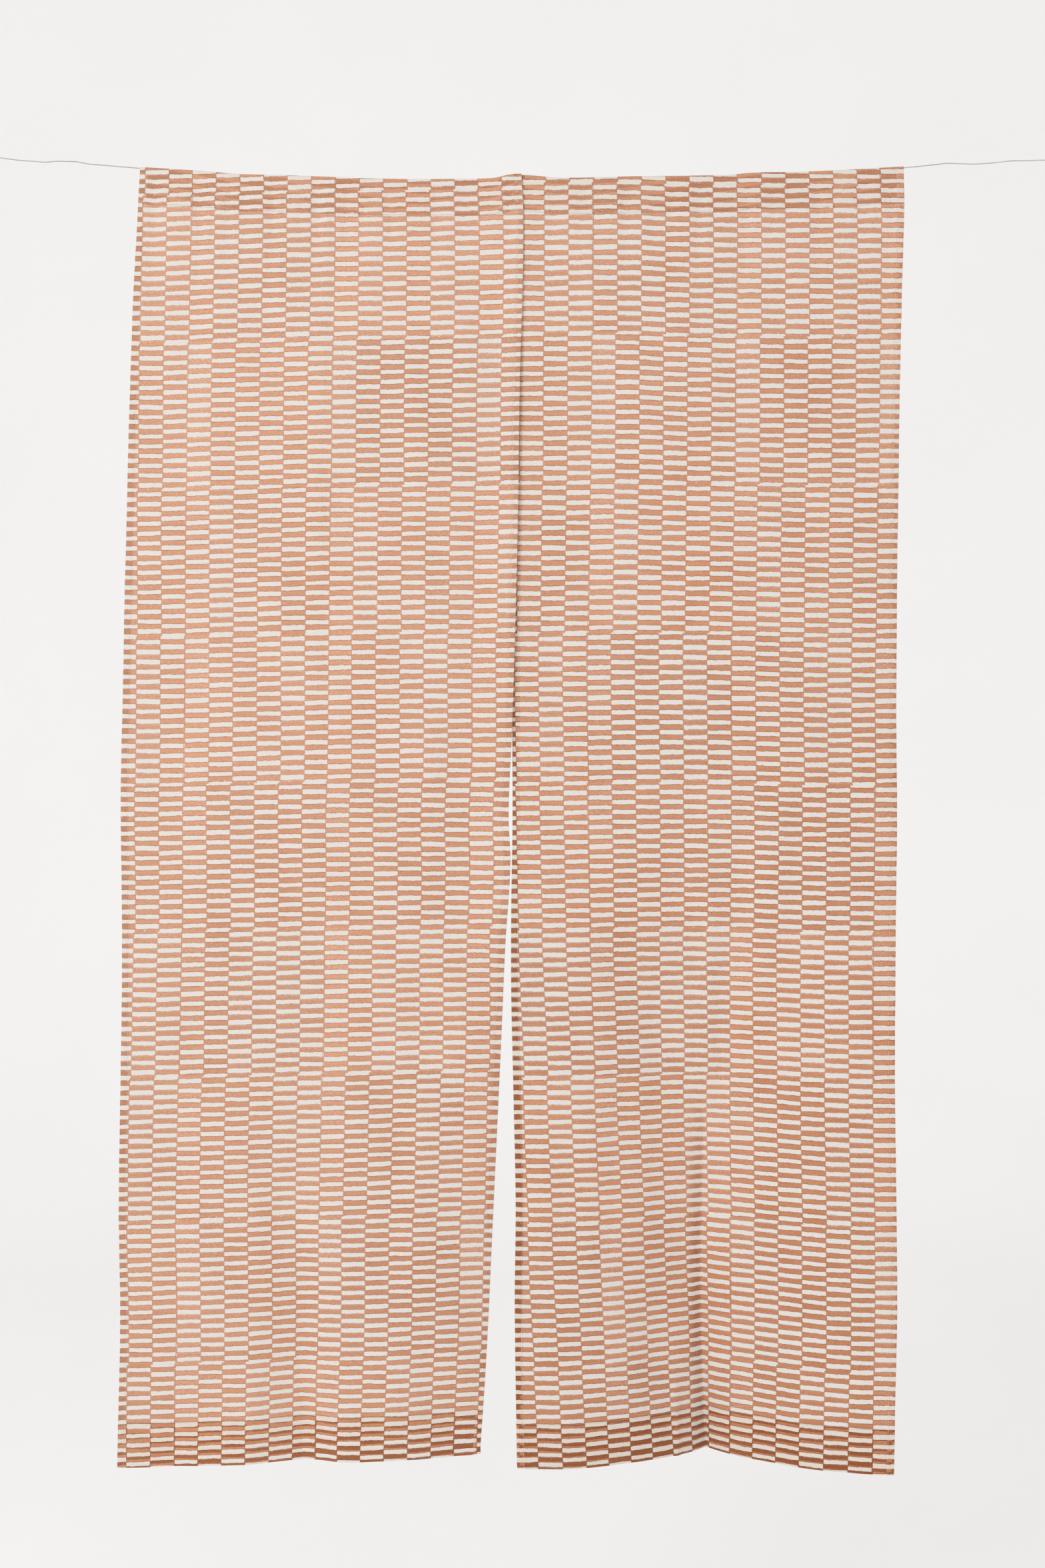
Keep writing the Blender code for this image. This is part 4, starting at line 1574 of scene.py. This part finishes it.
class StageSettings(bpy.types.PropertyGroup):
    """Colour and light of the plain stage."""

    ground: FloatVectorProperty(
        name="Ground",
        description="Matt paint of floor and wall",
        default=(0.915, 0.912, 0.908),
        min=0.0,
        max=1.0,
        subtype="COLOR",
    )
    floor_height: FloatProperty(
        name="Floor height",
        description="Height of the floor below the hanging line",
        default=-2.75,
        subtype="DISTANCE",
        unit="LENGTH",
    )
    wall_distance: FloatProperty(
        name="Wall distance",
        description="Distance of the wall behind the curtain",
        default=6.5,
        subtype="DISTANCE",
        unit="LENGTH",
    )
    window_power: FloatProperty(
        name="Window light",
        description="Power of the broad light from the left",
        default=134.0,
        min=0.0,
        subtype="POWER",
        unit="POWER",
    )
    fill_power: FloatProperty(
        name="Fill light",
        description="Power of the broad light from the lower right",
        default=32.0,
        min=0.0,
        subtype="POWER",
        unit="POWER",
    )
    sky: FloatProperty(
        name="Room light",
        description="Strength of the even light from all sides",
        default=0.90,
        min=0.0,
    )


def cotton_pair(cloth, settings):
    """Printed face and reverse of one panel's cloth."""
    group = bpy.data.node_groups.get("block print") or block_print()
    return printed_cotton(cloth, settings, group), reverse_cotton(cloth, settings, group)


class DOORCURTAIN_OT_left_panel(bpy.types.Operator):
    """Make the left cloth panel, which lies over the right one at the middle"""

    bl_idname = "door_curtain.left_panel"
    bl_label = "Left panel"

    def execute(self, context):
        settings = context.scene.door_curtain_cotton
        cloth = LeftCloth(settings)
        panel = add_sheet("left_cotton_panel", cloth, *cotton_pair(cloth, settings))
        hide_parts("left_panel")
        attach(panel, "root")
        return {"FINISHED"}


class DOORCURTAIN_OT_right_panel(bpy.types.Operator):
    """Make the right cloth panel, with its V-shaped fold"""

    bl_idname = "door_curtain.right_panel"
    bl_label = "Right panel"

    def execute(self, context):
        settings = context.scene.door_curtain_cotton
        cloth = RightCloth(settings)
        panel = add_sheet("right_cotton_panel", cloth, *cotton_pair(cloth, settings))
        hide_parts("right_panel")
        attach(panel, "root")
        return {"FINISHED"}


class DOORCURTAIN_OT_stitching(bpy.types.Operator):
    """Sew the side hems, the bottom hems and the pockets"""

    bl_idname = "door_curtain.stitching"
    bl_label = "Stitching"

    def execute(self, context):
        settings = context.scene.door_curtain_cotton
        thread = cotton_thread("sewing thread", settings.thread)
        pairs = (
            ("left_stitches", LeftCloth(settings), "left_cotton_panel", "printed_cotton_left"),
            ("right_stitches", RightCloth(settings), "right_cotton_panel", "printed_cotton_right"),
        )
        for name, cloth, panel, slot in pairs:
            piece = add_stitches(name, cloth, settings, thread, bpy.data.objects[panel])
        return {"FINISHED"}


class DOORCURTAIN_OT_metal(bpy.types.Operator):
    """Give the wire and the wall eyes their metal"""

    bl_idname = "door_curtain.metal"
    bl_label = "Wire and wall eyes"

    def execute(self, context):
        settings = context.scene.door_curtain_metal
        steel = drawn_steel("drawn steel wire", settings.steel, WIRE_STREAKS)
        zinc = drawn_steel("zinc plate", settings.zinc, PLATE_STREAKS)
        for name, metal in (("hanging_wire", steel), ("left_wall_eye", zinc), ("right_wall_eye", zinc)):
            node = frame["nodes"][name]
            node.data.materials.clear()
            node.data.materials.append(metal)
        return {"FINISHED"}


def swept_ground(wall, floor):
    """Floor and wall in one, joined by a round cove."""
    shape = bmesh.new()
    profile = [Vector((-GROUND_HALF_WIDTH, -GROUND_HALF_WIDTH, floor))]
    for angle in spread(0.0, 0.5 * math.pi, COVE_STEPS):
        profile.append(Vector((
            -GROUND_HALF_WIDTH,
            wall - COVE_RADIUS + COVE_RADIUS * math.sin(angle),
            floor + COVE_RADIUS - COVE_RADIUS * math.cos(angle),
        )))
    profile.append(Vector((-GROUND_HALF_WIDTH, wall, WALL_TOP)))
    line = [shape.verts.new(point) for point in profile]
    edges = [shape.edges.new(pair) for pair in zip(line, line[1:])]
    swept = bmesh.ops.extrude_edge_only(shape, edges=edges)["geom"]
    moved = [part for part in swept if isinstance(part, bmesh.types.BMVert)]
    bmesh.ops.translate(shape, verts=moved, vec=(2.0 * GROUND_HALF_WIDTH, 0.0, 0.0))
    bmesh.ops.recalc_face_normals(shape, faces=shape.faces)
    return shape


def add_light(name, power, place, target, size, colour):
    """Soft rectangular light at a place, turned towards a target."""
    light = bpy.data.lights.new(name, "AREA")
    light.shape = "RECTANGLE"
    light.size, light.size_y = size
    light.energy = power
    light.color = colour
    lamp = link(bpy.data.objects.new(name, light))
    lamp.location = place
    lamp.rotation_euler = (Vector(target) - Vector(place)).to_track_quat("-Z", "Y").to_euler()


class DOORCURTAIN_OT_stage(bpy.types.Operator):
    """Set up the plain floor and wall, the lights and the camera"""

    bl_idname = "door_curtain.stage"
    bl_label = "Stage"

    def execute(self, context):
        settings = context.scene.door_curtain_stage
        shape = swept_ground(settings.wall_distance, settings.floor_height)
        ground = add_piece("floor_and_wall", shape, pale_ground("matt ground", settings.ground))
        add_light("window light", settings.window_power, *WINDOW_LIGHT)
        add_light("fill light", settings.fill_power, *FILL_LIGHT)

        world = bpy.data.worlds.new("room light")
        world.use_nodes = True
        background = world.node_tree.nodes["Background"]
        background.inputs["Color"].default_value = ROOM_COLOUR
        background.inputs["Strength"].default_value = settings.sky
        context.scene.world = world

        camera = bpy.data.cameras.new("camera")
        camera.sensor_fit = "VERTICAL"
        camera.sensor_height = SENSOR_HEIGHT
        camera.lens = SENSOR_HEIGHT * CAMERA_DISTANCE / PICTURE_HEIGHT
        camera.clip_end = CAMERA_REACH
        viewer = link(bpy.data.objects.new("camera", camera))
        viewer.location = (0.0, -CAMERA_DISTANCE, CAMERA_HEIGHT)
        viewer.rotation_euler = (0.5 * math.pi, 0.0, 0.0)
        context.scene.camera = viewer
        context.scene.view_settings.view_transform = "Standard"
        return {"FINISHED"}


class DOORCURTAIN_PT_sidebar(bpy.types.Panel):
    """Sidebar with the settings and the pieces of the curtain"""

    bl_label = "Door curtain"
    bl_idname = "DOORCURTAIN_PT_sidebar"
    bl_space_type = "VIEW_3D"
    bl_region_type = "UI"
    bl_category = "Door curtain"

    def draw(self, context):
        layout = self.layout
        scene = context.scene
        for group in (scene.door_curtain_cotton, scene.door_curtain_metal, scene.door_curtain_stage):
            box = layout.box()
            for name in group.__annotations__:
                box.prop(group, name)
        for operator in OPERATORS:
            layout.operator(operator.bl_idname)


OPERATORS = (
    DOORCURTAIN_OT_stage,
    DOORCURTAIN_OT_left_panel,
    DOORCURTAIN_OT_right_panel,
    DOORCURTAIN_OT_stitching,
    DOORCURTAIN_OT_metal,
)
CLASSES = (CottonSettings, MetalSettings, StageSettings) + OPERATORS + (DOORCURTAIN_PT_sidebar,)


def register():
    for entry in CLASSES:
        bpy.utils.register_class(entry)
    bpy.types.Scene.door_curtain_cotton = PointerProperty(type=CottonSettings)
    bpy.types.Scene.door_curtain_metal = PointerProperty(type=MetalSettings)
    bpy.types.Scene.door_curtain_stage = PointerProperty(type=StageSettings)


def unregister():
    del bpy.types.Scene.door_curtain_cotton
    del bpy.types.Scene.door_curtain_metal
    del bpy.types.Scene.door_curtain_stage
    for entry in reversed(CLASSES):
        bpy.utils.unregister_class(entry)


def main():
    for old in list(bpy.data.objects):
        if old.type in {"CAMERA", "LIGHT"}:
            bpy.data.objects.remove(old)
    register()
    bpy.ops.door_curtain.stage()
    bpy.ops.door_curtain.left_panel()
    bpy.ops.door_curtain.right_panel()
    bpy.ops.door_curtain.stitching()
    bpy.ops.door_curtain.metal()


if __name__ == "__main__":
    main()
